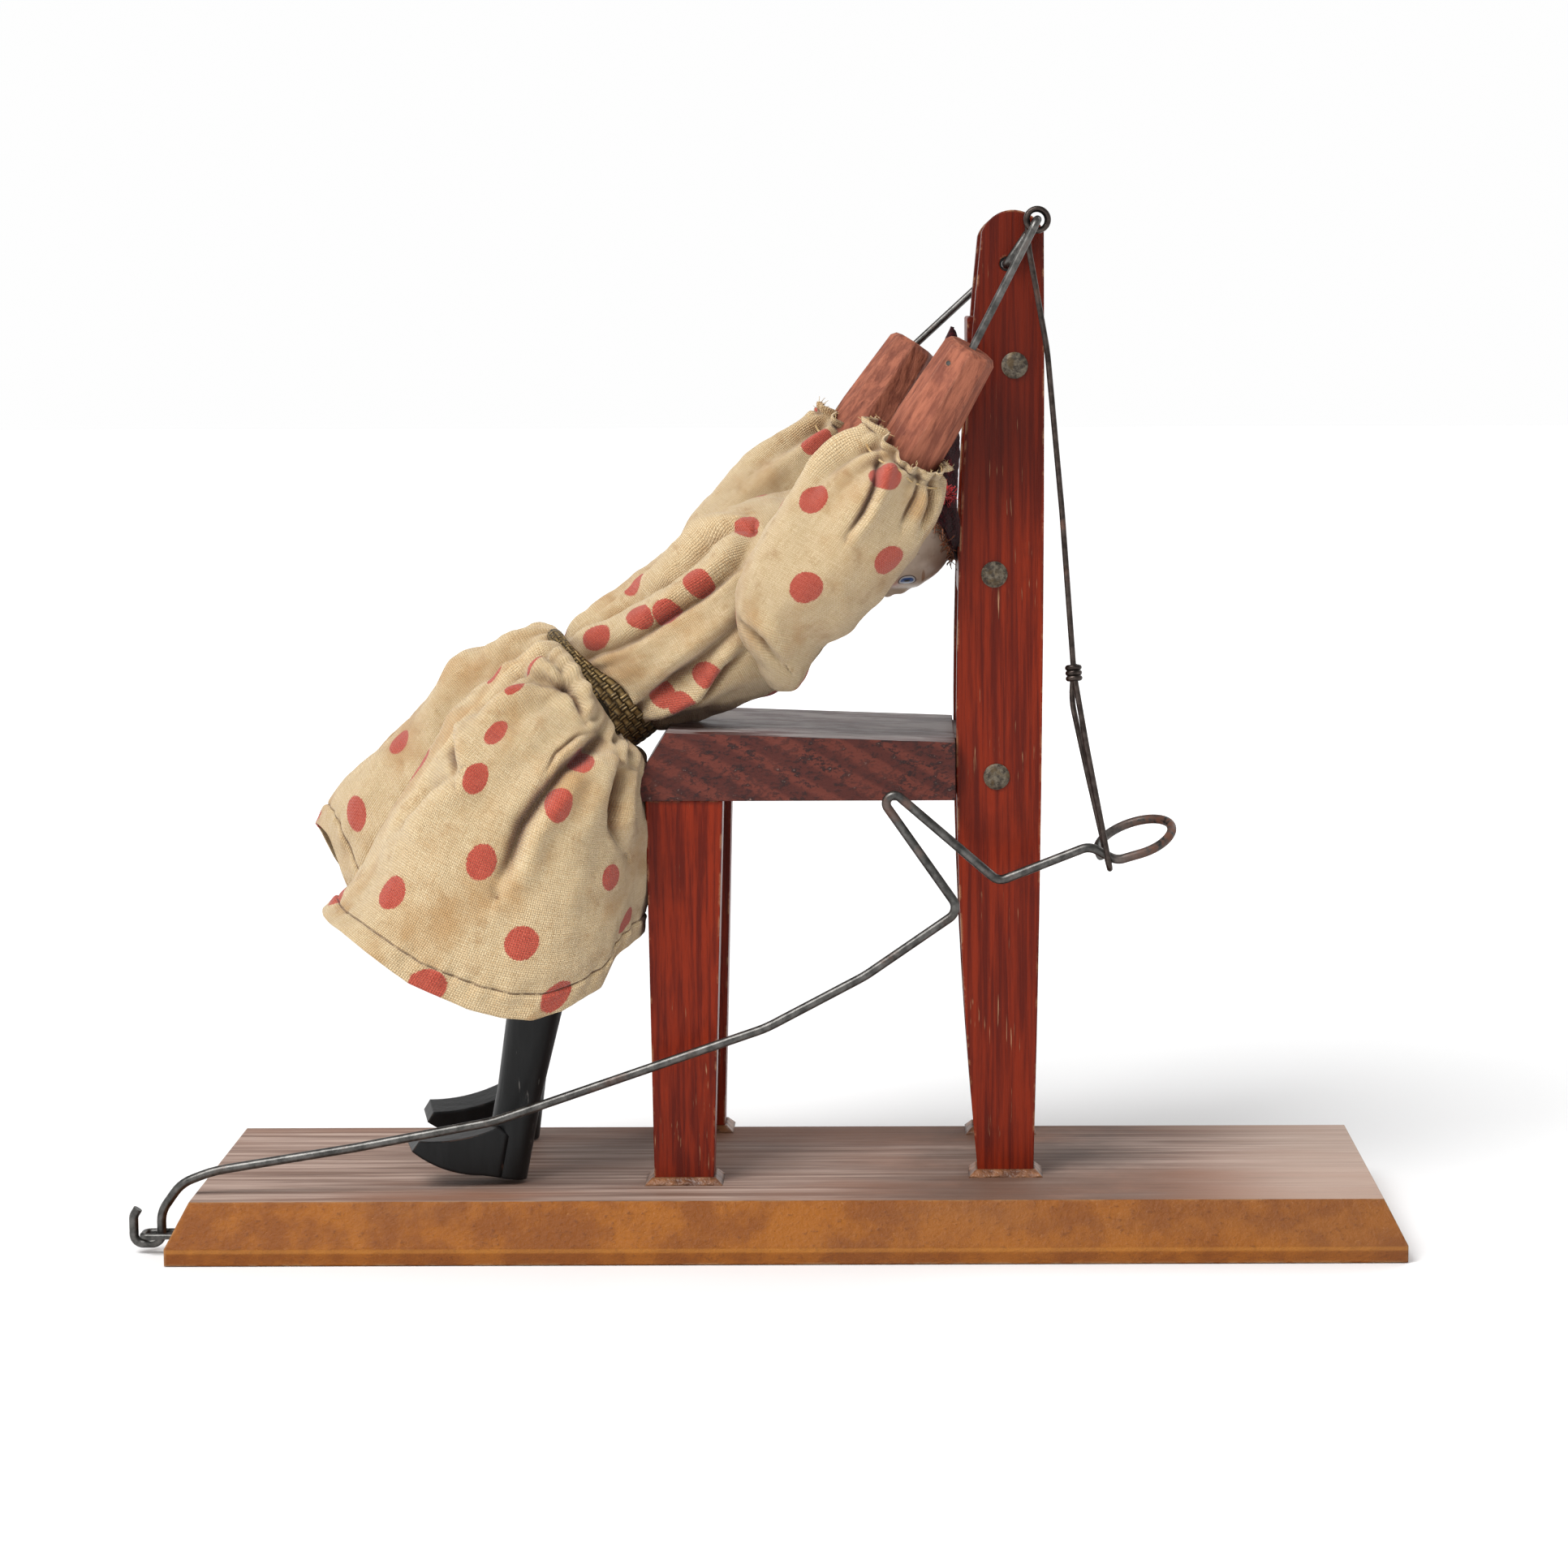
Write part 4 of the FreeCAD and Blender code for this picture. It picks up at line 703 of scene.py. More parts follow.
# folds: the path's (x, z), width and depth; spots: (x, z) as the camera sees them, and a size where
# it isn't 1
NEAR_TROUSER_FOLDS = [
    ([(-50.0, -40.5), (-57.0, -41.7), (-63.2, -45.2), (-68.3, -51.5), (-72.4, -57.0),
      (-75.0, -64.3), (-78.5, -71.0)], 3.2, 4.6),
    ([(-47.0, -42.0), (-50.6, -43.7), (-51.9, -51.1), (-51.7, -57.6), (-48.5, -64.2)], 2.4, 3.0),
    ([(-84.0, -31.5), (-87.2, -36.0), (-86.6, -47.0)], 2.4, 3.4),
    ([(-86.6, -46.0), (-92.2, -49.9), (-97.7, -56.2), (-99.6, -60.8)], 2.8, 3.0),
    ([(-63.0, -27.5), (-69.0, -27.0), (-75.0, -30.0), (-79.0, -31.5)], 1.7, 2.2),
    ([(-67.3, -19.8), (-62.6, -23.7), (-59.5, -29.1), (-57.9, -34.6)], 1.5, 2.4),
    ([(-74.3, -25.2), (-66.5, -24.5), (-61.0, -26.8), (-58.7, -31.5)], 1.5, 2.2),
    ([(-56.5, -37.5), (-60.5, -38.5), (-65.0, -41.5), (-68.5, -46.5)], 1.3, 1.8),]
NEAR_TROUSER_SPOTS = [(-71.8, -18.4, 0.6), (-80.4, -21.4, 0.62), (-75.2, -23.6, 0.6),
    (-79.3, -34.3, 0.8), (-83.4, -45.5, 0.85), (-61.8, -41.5), (-64.8, -52.0), (-82.3, -64.4),
    (-103.5, -70.7), (-53.1, -68.7), (-49.8, -78.7), (-73.3, -83.3), (-95.8, -92.0), (-65.5, -95.6)]


def trouser_points(front, back, hem, side, nu, nv, seed):
    # how much lower the hem hangs on the side towards the camera
    cover = 3.4 if side > 0 else 0.6
    u, v = grid(nu, nv)
    across = (1 - np.cos(TAU * u)) / 2
    start, finish = curve_through(front, v), curve_through(back, v)
    flat = start + (finish - start) * across[..., None]
    hem = np.asarray(hem, float)
    # how far the hem hangs below the straight line between its ends
    hem_z = np.interp(flat[:, -1, 0], hem[:, 0], hem[:, 1])
    sag = (hem_z - flat[:, -1, 1])[:, None]
    flat[..., 1] += sag * v ** 1.35 - cover * v ** 1.6 * np.maximum(np.sin(TAU * u), 0)
    depth = curve_through(HALF_DEPTH, v)
    outline = np.sign(np.sin(TAU * u)) * np.abs(np.sin(TAU * u)) ** 0.85
    y = side * depth[..., 1] - depth[..., 0] * outline
    points = np.stack([flat[..., 0], y, flat[..., 1]], -1)
    normal = outward(points)
    tuck = smooth(0.01, 0.07, v)
    rise = gathers(u, v, 24, seed, 0.40, 0.30, at=0.05, drift=0.045) * 4.0 * tuck
    rise += gathers(u, v, 9, seed + 9, 0.30, 0.55, at=0.08, drift=0.05) * 2.4 * tuck
    rise += 1.3 * np.sin(TAU * (3 * u + 0.12 * seed) + 2.2 * v) * v ** 1.5
    rise += 0.9 * np.sin(TAU * (5 * u + 0.31 * seed) - 1.5 * v) * v ** 2
    rise += (wander(points, 30, seed) * 0.9 + wander(points, 10, seed + 5) * 0.22) * tuck
    rise += wander(points, 13, seed + 6) * 0.75 * tuck * (1 - smooth(0.1, 0.42, v))
    return u, v, points, normal, rise


def make_trouser(which, front, back, hem, side, seed, creases, spots, seen):
    name, node, body = which + "_trouser_cloth", which + "_trouser_leg", which + "_leg_body"
    nu, nv = 300, 170
    u, v, points, normal, rise = trouser_points(front, back, hem, side, nu, nv, seed)
    for path, width, depth in creases:
        rise += crease(points, path, width, depth)
    # the hem is turned up once and stitched
    rise += 0.45 * smooth(0.893, 0.903, v) - 0.55 * np.exp(-((v - HEM_STITCH) / 0.008) ** 2)
    rise += 0.35 * np.sin(TAU * 34 * u + 3 * np.sin(TAU * 5 * u)) * np.exp(-((v - 0.905) / 0.045) ** 2)
    points = points + normal * rise[..., None]
    width, length = TROUSER_SHEET
    flat_u = np.linspace(0, width, nu + 1)
    flat_v = row_spacing(points, nu // 8, nu * 3 // 8, length)
    chosen = cloth_uv_at(points, flat_u, flat_v, spots, SPOT_DEPTHS[name])
    dots = scatter(flat_u, flat_v, chosen, 20.5, seed, seen)
    stitch_v = float(np.interp(HEM_STITCH, np.linspace(0, 1, nv), flat_v))
    cloth = linen("linen_" + name, dots, stitch_v=stitch_v, seed=seed * 3.7, radius=3.4)
    made = grid_piece(name, points, flat_u, flat_v, cloth)
    thicken(made)
    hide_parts(node)
    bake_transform(made)


# ---- blouse
# distance down the body, half height above and below its line, half width
BLOUSE = [(-9.5, 5.0, 6.0, 10.0), (-7.5, 9.4, 10.2, 16.5), (0, 15.0, 15.6, 21.6),
    (14, 18.4, 20.6, 23.0), (31, 17.2, 21.2, 21.0), (44, 15.4, 17.6, 18.0), (52, 15.0, 14.6, 15.6),
    (57, 14.4, 12.4, 13.2), (63.5, 14.6, 12.4, 13.2)]
# folds: the path's (x, z), the fold's width and its depth; spots: (x, z) as the camera sees them
BLOUSE_FOLDS = [
    ([(-60.0, -19.0), (-47.0, -11.5), (-36.0, -5.0), (-26.0, 3.5), (-20.5, 6.5)], 1.9, 2.6),
    ([(-58.0, -24.0), (-44.0, -17.5), (-32.0, -9.0), (-22.0, -0.5), (-18.0, 5.0)], 2.2, 3.2),
    ([(-48.0, -36.5), (-38.0, -27.5), (-28.0, -18.5), (-20.0, -12.0)], 2.6, 2.6),
    ([(-40.0, 1.0), (-31.0, 4.5), (-24.0, 8.0), (-18.0, 8.5)], 1.4, 1.6),
    ([(-33.0, -2.0), (-27.0, 3.0), (-21.0, 6.0), (-17.0, 6.0)], 1.3, 1.8),
    ([(-46.0, -40.0), (-37.0, -35.0), (-30.0, -31.0), (-25.0, -24.0), (-20.0, -19.0)], 1.8, 2.6),]
BLOUSE_SPOTS = [(-21.1, 7.9), (-30.9, -3.8), (-38.2, -12.6), (-45.8, -11.6), (-46.6, -4.3),
    (-29.8, -25.5), (-35.4, -33.5), (-39.7, -29.1), (-55.5, -16.6), (-13.4, -31.2)]


def make_blouse():
    nu, nv = 320, 150
    u, v = grid(nu, nv)
    station = -9.5 + v * 73.0
    rows = curve_through(BLOUSE, station)
    high, low, half = rows[..., 0], rows[..., 1], rows[..., 2]
    lift = (high - low) / 2 + (high + low) / 2 * np.cos(TAU * u)
    y = -half * np.sin(TAU * u)
    lean = np.where(station > 50, (station - 50) / 13.5, 0) * 1.9
    along = station + lean * np.cos(TAU * u)
    points = (-TORSO_UP * along[..., None] + TORSO_BACK * lift[..., None] + SIDEWAYS * y[..., None])
    normal = outward(points)
    tuck = 1 - smooth(0.90, 0.955, v)
    rise = gathers(u, v, 20, 11, 0.38, 0.36, at=0.95, drift=0.05) * 3.0 * tuck
    rise += gathers(u, v, 12, 12, 0.45, 0.3, at=0.1, drift=0.03) * 1.5
    rise += (wander(points, 24, 3) * 0.8 + wander(points, 8, 4) * 0.22) * tuck
    # long folds from the belt to the pucker under the arm
    for path, width, depth in BLOUSE_FOLDS:
        rise += crease(points, path, width, depth)
    points = points + normal * rise[..., None]
    width, length = BLOUSE_SHEET
    flat_u = np.linspace(0, width, nu + 1)
    flat_v = np.linspace(0, length, nv)
    chosen = cloth_uv_at(points, flat_u, flat_v, BLOUSE_SPOTS, -22.0)
    dots = scatter(flat_u, flat_v, chosen, 20.0, 7, (0.03, 0.42))
    made = grid_piece("blouse_cloth", points, flat_u, flat_v, linen("linen_blouse", dots, seed=2.3,
        radius=3.2))
    thicken(made)
    return dress(made, "torso", "linen", "blouse")


# ---- sleeves
# distance up the arm from the shoulder, reach to the left and right, half thickness, outward offset
NEAR_SLEEVE = [(-31.6, 1.2, 0.8, 1.0, 1.0), (-30.4, 3.6, 3.0, 2.6, 1.1), (-27.2, 7.4, 4.4, 4.6, 1.4),
    (-23.5, 13.4, 4.4, 6.4, 1.9), (-18.6, 17.5, 4.6, 8.4, 2.6), (-12.0, 19.2, 7.6, 10.2, 3.4),
    (-4.0, 19.7, 9.2, 11.4, 4.2), (4.0, 18.9, 10.9, 11.6, 4.4), (12.0, 18.1, 12.0, 11.2, 4.5),
    (19.0, 16.6, 11.9, 10.4, 4.7), (24.6, 13.4, 10.2, 9.6, 5.0), (27.6, 10.4, 8.8, 8.6, 5.3),
    (29.4, 9.3, 8.4, 8.2, 5.5), (32.0, 9.9, 8.9, 8.8, 5.6)]
FAR_SLEEVE = [(-31.6, 1.2, 0.8, 1.0, 1.0), (-30.0, 4.0, 3.0, 2.8, 1.1), (-26.0, 10.0, 4.6, 5.2, 1.5),
    (-20.0, 17.8, 5.4, 8.2, 2.4), (-13.0, 20.6, 6.8, 10.2, 3.2), (-6.0, 20.4, 8.0, 11.2, 4.0),
    (2.0, 18.6, 9.2, 11.4, 4.3), (9.0, 16.8, 10.3, 11.2, 4.4), (16.0, 14.4, 10.2, 10.2, 4.6),
    (21.5, 12.2, 9.6, 9.2, 5.0), (24.6, 10.0, 8.6, 8.4, 5.3), (26.6, 9.2, 8.3, 8.1, 5.4),
    (29.0, 9.8, 8.8, 8.7, 5.5)]
# how deep in the doll's frame the sight lines to the spots meet the cloth
SPOT_DEPTHS = {"near": -43.0, "far": 24.0, "near_trouser_cloth": -40.0, "far_trouser_cloth": 4.0}
# half the distance between the shoulders, and where each hand grips
SHOULDER_HALF = 31.0
GRIPS = {"near": np.array([27.4, -41.5, 49.8]), "far": np.array([30.5, 33.3, 44.7])}
NEAR_SLEEVE_FOLDS = [
    ([(7.0, 27.0), (4.8, 19.1), (2.1, 13.7), (-1.5, 8.5)], 1.5, 2.6),
    ([(15.5, 23.5), (14.0, 17.0), (11.0, 10.5)], 1.4, 1.9),
    ([(18.5, 22.0), (18.0, 16.0), (14.5, 9.0)], 1.3, 1.6),
    ([(-24.0, -10.0), (-19.0, -14.5), (-14.0, -21.0)], 2.2, 2.4),]
NEAR_SLEEVE_SPOTS = [(-10.3, -3.9), (9.4, 2.6), (-9.2, 17.2), (8.3, 21.9), (-10.7, -25.3)]


def make_sleeve(name, table, side, seed, creases, spots, seen):
    nu, nv = 260, 150
    low, high = table[0][0], table[-1][0]
    u, v = grid(nu, nv)
    # closer rows at the pointed end
    distance = low + (high - low) * (v ** 1.25)
    rows = curve_through(table, distance)
    left, right, thick, outboard = (rows[..., k] for k in range(4))
    reach = GRIPS[name] - np.array([0, side * SHOULDER_HALF, 0])
    up = np.array([reach[0], 0, reach[2]]) / math.hypot(reach[0], reach[2])
    across = np.array([up[2], 0, -up[0]])
    middle = (right - left) / 2
    half = (right + left) / 2
    # the cuff dips over the near side of the arm
    dip = (1.2 * np.cos(TAU * u) * 0.5 + 0.5 * np.cos(2 * TAU * u)
        - 3.6 * np.maximum(np.sin(TAU * u) * -side, 0) ** 1.5) * smooth(high - 14, high, distance)
    a = middle - half * np.cos(TAU * u)
    turn = np.sin(TAU * u)
    y = side * (SHOULDER_HALF + outboard) - thick * np.sign(turn) * np.abs(turn) ** 0.8
    along = distance + dip
    points = up * along[..., None] + across * a[..., None] + SIDEWAYS * y[..., None]
    normal = outward(points)
    fine = smooth(low, low + 8, distance)
    pinch = np.exp(-((distance - high + 2.6) / 1.1) ** 2)
    pleats = gathers(u, v, 16, seed, 0.36, 0.26, at=0.95, drift=0.05)
    rise = pleats * 3.4 * fine * (1 - 0.55 * pinch)
    rise += gathers(u, v, 6, seed + 7, 0.26, 0.6, at=0.9, drift=0.07) * 2.6 * fine * (1 - 0.8 * pinch)
    rise += (wander(points, 26, seed) * 0.8 + wander(points, 9, seed + 3) * 0.22) * fine
    rise += 0.6 * np.sin(TAU * 17 * u + 2 * np.sin(TAU * 4 * u)) * smooth(high - 2.4, high, distance)
    for path, width, depth in creases:
        rise += crease(points, path, width, depth)
    points = points + normal * rise[..., None]
    width, length = SLEEVE_SHEET
    flat_u = np.linspace(0, width, nu + 1)
    flat_v = np.linspace(0, 1, nv) ** 1.25 * length
    chosen = cloth_uv_at(points, flat_u, flat_v, spots, SPOT_DEPTHS[name])
    dots = scatter(flat_u, flat_v, chosen, 20.0, seed, seen)
    made = grid_piece(name + "_sleeve_cloth", points, flat_u, flat_v,
        linen("linen_%s_sleeve" % name, dots, seed=seed * 1.9))
    thicken(made)
    dress(made, "crank", "linen", name + "_sleeve")
    return points


# ---- belt, cap, head, threads
def make_belt():
    nu, nv = 240, 26
    u, v = grid(nu, nv)
    # narrow and twisted at the back, wide at the front
    front = (1 - np.cos(TAU * u)) / 2
    width = 2.4 + 5.2 * smooth(0.12, 0.5, front)
    lean = 15.0 * math.tan(math.radians(7.5))
    station = 60.2 + lean * np.cos(TAU * u) + (v - 0.5) * width
    edge = 4 * v * (1 - v)
    flare = 3.0 * smooth(0.35, 1.0, v) * smooth(0.2, 0.5, front)
    bulge = 0.5 + 0.35 * edge + 0.5 * (1 - smooth(0.1, 0.35, front)) * edge
    lift = 1.2 + (15.0 + bulge) * np.cos(TAU * u)
    y = -(14.6 + bulge + flare) * np.sin(TAU * u)
    wave = 0.25 * np.sin(TAU * 9 * u) * (v - 0.5)
    points = (-TORSO_UP * (station + wave)[..., None] + TORSO_BACK * lift[..., None]
        + SIDEWAYS * y[..., None])
    normal = outward(points)
    ribs = np.abs(np.sin(np.pi * 46 * u)) * 0.22 + 0.12 * np.abs(np.sin(np.pi * 5 * v))
    points = points + normal * ribs[..., None]
    flat_u = np.linspace(0, 96.0, nu + 1)
    flat_v = np.linspace(0, 6.4, nv)
    made = grid_piece("belt_braid", points, flat_u, flat_v, braid())
    thicken(made, 0.0007)
    return dress(made, "torso", "braid", "belt")


# share of the height, x and z of the front, x and z of the back, half width
CAP = [(0, 32.6, -3.0, 21.0, 17.8, 11.6), (0.1, 33.6, -0.4, 20.4, 20.4, 12.0),
    (0.3, 34.0, 8.0, 21.2, 27.0, 10.6), (0.5, 34.2, 21.0, 24.6, 35.2, 7.6),
    (0.72, 34.2, 34.0, 28.6, 42.4, 4.4), (0.9, 33.8, 45.4, 30.8, 48.6, 2.2),
    (1.0, 33.0, 50.6, 31.8, 51.6, 0.7)]


def make_cap():
    nu, nv = 160, 100
    u, v = grid(nu, nv)
    rows = curve_through(CAP, v)
    front, back, half = rows[..., 0:2], rows[..., 2:4], rows[..., 4]
    middle = (front + back) / 2
    reach = (back - front) / 2
    flat = middle - reach * np.cos(TAU * u)[..., None]
    y = -half * np.sin(TAU * u)
    points = np.stack([flat[..., 0], y, flat[..., 1]], -1)
    normal = outward(points)
    rise = wander(points, 16, 21) * 0.9 * (1 - v) + wander(points, 6, 22) * 0.22
    rise += 0.7 * np.sin(TAU * (2 * u + 1.2 * v)) * np.sin(np.pi * v)
    rise += 0.5 * np.exp(-((v - 0.02) / 0.03) ** 2)
    points = points + normal * rise[..., None]
    # the cap lies flat against the slats
    points[..., 0] = np.minimum(points[..., 0], 34.4)
    width, length = CAP_SHEET
    made = grid_piece("cap_velvet", points, np.linspace(0, width, nu + 1), np.linspace(0, length, nv),
        velvet())
    thicken(made, 0.0009, 1.0)
    dress(made, "torso", "velvet", "hat")
    return points


def strands(name, starts, directions, length, radius, material, body, slot_name, seed, curl=0.4):
    """Short curved threads as one curve object. Starts and directions in doll millimetres."""
    rng = np.random.default_rng(seed)
    data = bpy.data.curves.new(name, "CURVE")
    data.dimensions = "3D"
    data.bevel_depth = radius * MM
    data.bevel_resolution = 2
    data.use_fill_caps = True
    for start, direction in zip(starts, directions):
        spline = data.splines.new("NURBS")
        spline.points.add(4)
        size = length * rng.uniform(0.6, 1.3)
        here = np.array(start, float)
        heading = np.array(direction, float)
        for number, point in enumerate(spline.points):
            x, y, z = to_row(here)
            point.co = (x, y, z, 1)
            point.radius = 1.0 - 0.12 * number
            heading = heading + rng.normal(0, curl, 3)
            heading /= np.linalg.norm(heading)
            here = here + heading * size / 4
        spline.use_endpoint_u = True
        spline.order_u = 3
    data.materials.append(material)
    return dress(add_object(name, data), body, slot_name)


def head_material():
    """Painted composition: pink-white skin, blue eyes, thin brows, red lips. UVs are face mm."""
    g = Graph("composition")
    place = g.uv()
    object_place = g.coords()
    tone = g.noise(object_place, 160, 4, 0.6)
    grime = g.noise(object_place, 420, 4, 0.7)
    color = g.mix(g.band(tone, 0.35, 0.65), srgb(196, 174, 152), srgb(218, 200, 180))
    color = g.tint(color, g.band(grime, 0.56, 0.68), 0.5, srgb(158, 120, 96))

    def spot(point, squash, radius, soft):
        near = g.vector("DISTANCE", g.stretch(place, (1.0, squash, 1.0)),
            (point[0], point[1] * squash, 0.0))
        return g.inverse(g.band(near, radius - soft, radius + soft))

    for side in (-1, 1):
        color = g.tint(color, spot((side * 7.0, MARKS["cheek"]), 1.0, 3.0, 2.4), 0.6,
            srgb(218, 128, 112))
        eye = (side * MARKS["eye_side"], MARKS["eye"])
        color = g.mix(spot(eye, 1.15, 2.5, 0.14), color, srgb(84, 66, 62))
        color = g.mix(spot(eye, 1.15, 2.15, 0.10), color, srgb(206, 206, 208))
        color = g.mix(spot(eye, 1.0, 1.55, 0.14), color, srgb(58, 92, 150))
        color = g.mix(spot(eye, 1.0, 0.72, 0.12), color, srgb(16, 18, 24))
        brow = (side * (MARKS["eye_side"] + 0.4), MARKS["eye"] + 3.9)
        color = g.tint(color, spot(brow, 5.5, 2.4, 0.6), 0.75, srgb(150, 100, 58))
    color = g.tint(color, spot((0.0, MARKS["mouth"]), 2.2, 2.4, 0.4), 0.9, srgb(176, 44, 44))
    return g.finish(color, 0.32, normal=g.bump(grime, 0.0002, 0.4), specular=0.5)


HEAD = {"ahead": 18.5, "drop": 8.0, "lean": math.radians(20.7)}
MARKS = {"eye_side": 7.6, "eye": -1.4, "cheek": -6.4, "mouth": -9.6}
# height of a bump or hollow, distance from the middle and width, level and spread: the nose's tip,
# the eye sockets, eyeballs, cheeks, brow, upper lip, lower lip, the gap between them and the chin
FEATURES = [(2.5, 0, 1.8, -6.6, 1.7), (-0.8, 5.6, 2.4, -1.6, 1.6), (0.55, 6.4, 1.7, -1.4, 1.0),
    (0.6, 6.2, 2.8, -6.2, 2.6), (0.45, 0, 5.5, 1.6, 1.4), (0.8, 0, 2.3, -9.0, 0.6),
    (0.75, 0, 1.9, -10.3, 0.6), (-0.35, 0, 2.5, -9.6, 0.3), (1.0, 0, 2.8, -12.3, 1.4)]


def make_head():
    nu, nv = 220, 160
    u, v = grid(nu, nv, 0.004, 0.996)
    polar = np.pi * v
    # head frame: side, forward (out of the face), up; millimetres
    side = -np.sin(TAU * u) * np.sin(polar) * 11.4
    forward = np.cos(TAU * u) * np.sin(polar) * 13.0
    up = -np.cos(polar) * 13.4
    jaw = smooth(-1, -13, up)
    side = side * (1 - 0.22 * jaw)
    forward = forward * (1 - 0.04 * jaw)
    face = smooth(0.1, 0.7, forward / 13.0)
    feature = np.zeros_like(up)
    for height, out, across, level, spread in FEATURES:
        feature += height * np.exp(-((np.abs(side) - out) / across) ** 2 - ((up - level) / spread) ** 2)
    # the bridge of the nose
    feature += 1.5 * np.exp(-(side / 1.3) ** 2) * smooth(-7.0, -4.5, up) * (1 - smooth(-2.5, 1.5, up))
    forward = forward + feature * face
    lean = HEAD["lean"]
    face_way = -TORSO_BACK * math.cos(lean) - TORSO_UP * math.sin(lean)
    crown = TORSO_UP * math.cos(lean) - TORSO_BACK * math.sin(lean)
    centre = TORSO_UP * HEAD["ahead"] - TORSO_BACK * HEAD["drop"]
    points = (centre + SIDEWAYS * side[..., None] + face_way * forward[..., None]
        + crown * up[..., None])
    i, _, quads = ring_quads(nu, nv)
    # the face's own coordinates: millimetres round the head from the nose, and up
    round_it = np.stack([i / nu, (i + 1) / nu, (i + 1) / nu, i / nu], -1).reshape(-1)
    flat_x = -12.3 * TAU * (round_it - (round_it > 0.5))
    uv = np.stack([flat_x, up.reshape(-1)[quads.reshape(-1)]], -1)
    bottom, top = end_caps(nu, nv)
    # the end faces lie on plain skin, far from the face's marks
    uv = np.concatenate([uv, np.full((2 * nu, 2), 90.0)])
    made = piece_from("doll_head", to_row(points.reshape(-1, 3)), quads.reshape(-1, 4).tolist()
        + [bottom, top[::-1]], uv, head_material())
    dress(made, "torso", "composition", "head")


def make_neck():
    nu, nv = 48, 16
    u, v = grid(nu, nv)
    radius = 5.2 - 0.9 * np.sin(np.pi * v)
    middle = TORSO_UP * 5.5 - TORSO_BACK * 3.6
    way = TORSO_UP * 7.0 - TORSO_BACK * 3.2
    points = (middle + way * v[..., None] + SIDEWAYS * (radius * np.sin(TAU * u))[..., None]
        + TORSO_BACK * (radius * np.cos(TAU * u))[..., None])
    bottom, top = end_caps(nu, nv)
    faces = ring_quads(nu, nv)[2].reshape(-1, 4).tolist() + [bottom[::-1], top]
    made = piece_from("doll_neck", to_row(points.reshape(-1, 3)), faces, None,
        bpy.data.materials["composition"])
    dress(made, "torso", "composition")


# x and z of the crank's axle, and the inner and outer radius and half length of the dark ring of
# painted shade round it
AXLE = (50.4, 223.4)
AXLE_HOLE_SHADE = (1.16, 1.62, 2.6)


def make_axle_hole_shade():
    """A dark ring of painted shade round the axle in the posts' holes, where the bore lies in shade."""
    g = Graph("axle_grease")
    lumps = g.noise(g.coords(), 900, 3, 0.6)
    g.finish(g.mix(g.band(lumps, 0.35, 0.65), srgb(18, 15, 13), srgb(44, 36, 30)), 0.5)
    inner, outer, half = AXLE_HOLE_SHADE
    corners = [(inner, -half), (outer, -half), (outer, half), (inner, half)]
    count = 40
    for name in ("near", "far"):
        post = bpy.data.objects[name + "_back_post"]
        across = [(post.matrix_world @ Vector(corner)).y for corner in post.bound_box]
        middle = (min(across) + max(across)) / 2 / MM
        points = [((AXLE[0] + r * math.cos(TAU * i / count)) * MM, (middle + y) * MM,
            (AXLE[1] + r * math.sin(TAU * i / count)) * MM) for i in range(count) for r, y in corners]
        ends = [(4 * i, 4 * ((i + 1) % count)) for i in range(count)]
        faces = [(a + k, a + (k + 1) % 4, b + (k + 1) % 4, b + k) for a, b in ends for k in range(4)]
        made = piece_from(name + "_axle_grease", points, faces, None, g.material, False)
        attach(made, "stand")


def make_hair_and_tuft(cap):
    rim = cap[:, 1]
    rng = np.random.default_rng(8)
    starts, ways = [], []
    for index in range(len(rim)):
        for _ in range(2):
            inward = rim.mean(axis=0) - rim[index]
            inward /= np.linalg.norm(inward)
            starts.append(rim[index] + inward * 1.0 + rng.normal(0, 0.2, 3))
            ways.append(-TORSO_UP * 0.9 - inward * 0.1 + rng.normal(0, 0.3, 3))
    fringe = wool("hair_wool", srgb(96, 52, 26), srgb(168, 96, 50))
    strands("hair_fringe", starts, ways, 2.6, 0.16, fringe, "torso", "wool", 31, 0.5)
    centre = np.array([28.6, -10.0, 13.5])
    starts, ways = [], []
    for _ in range(150):
        way = rng.normal(size=3)
        way /= np.linalg.norm(way)
        way[1] = -abs(way[1])
        starts.append(centre + way * 0.8)
        ways.append(way)
    red = wool("tuft_wool", srgb(150, 14, 22), srgb(220, 40, 44))
    tuft = strands("red_tuft", starts, ways, 2.4, 0.14, red, "torso", "wool", 32, 0.5)
    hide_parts("hat_tuft")


def make_frays(name, points, seed):
    """Loose threads round a cuff's raw edge."""
    rng = np.random.default_rng(seed)
    rim = points[:, -1]
    back = points[:, -4]
    starts, ways = [], []
    for index in range(0, len(rim), 3):
        way = rim[index] - back[index]
        way /= np.linalg.norm(way) + 1e-9
        starts.append(rim[index] - way * 0.5)
        ways.append(way + rng.normal(0, 0.5, 3))
    strands(name + "_cuff_frays", starts, ways, 1.9, 0.10, frayed(), "crank", "linen", seed, 0.6)
    # the gathering thread round the cuff, drawn as one loop though the real one is wound twice
    ring = points[:, int(points.shape[1] * 0.93)]
    middle = ring.mean(axis=0)
    data = bpy.data.curves.new(name + "_cuff_thread", "CURVE")
    data.dimensions = "3D"
    data.bevel_depth = 0.00028
    data.bevel_resolution = 2
    spline = data.splines.new("NURBS")
    chosen = ring[::8]
    spline.points.add(len(chosen) - 1)
    for point, place in zip(spline.points, chosen):
        x, y, z = to_row(place + (place - middle) * 0.02 + rng.normal(0, 0.12, 3))
        point.co = (x, y, z, 1)
    spline.use_cyclic_u = True
    data.materials.append(bpy.data.materials["frayed_thread"])
    dress(add_object(data.name, data), "crank", "linen")


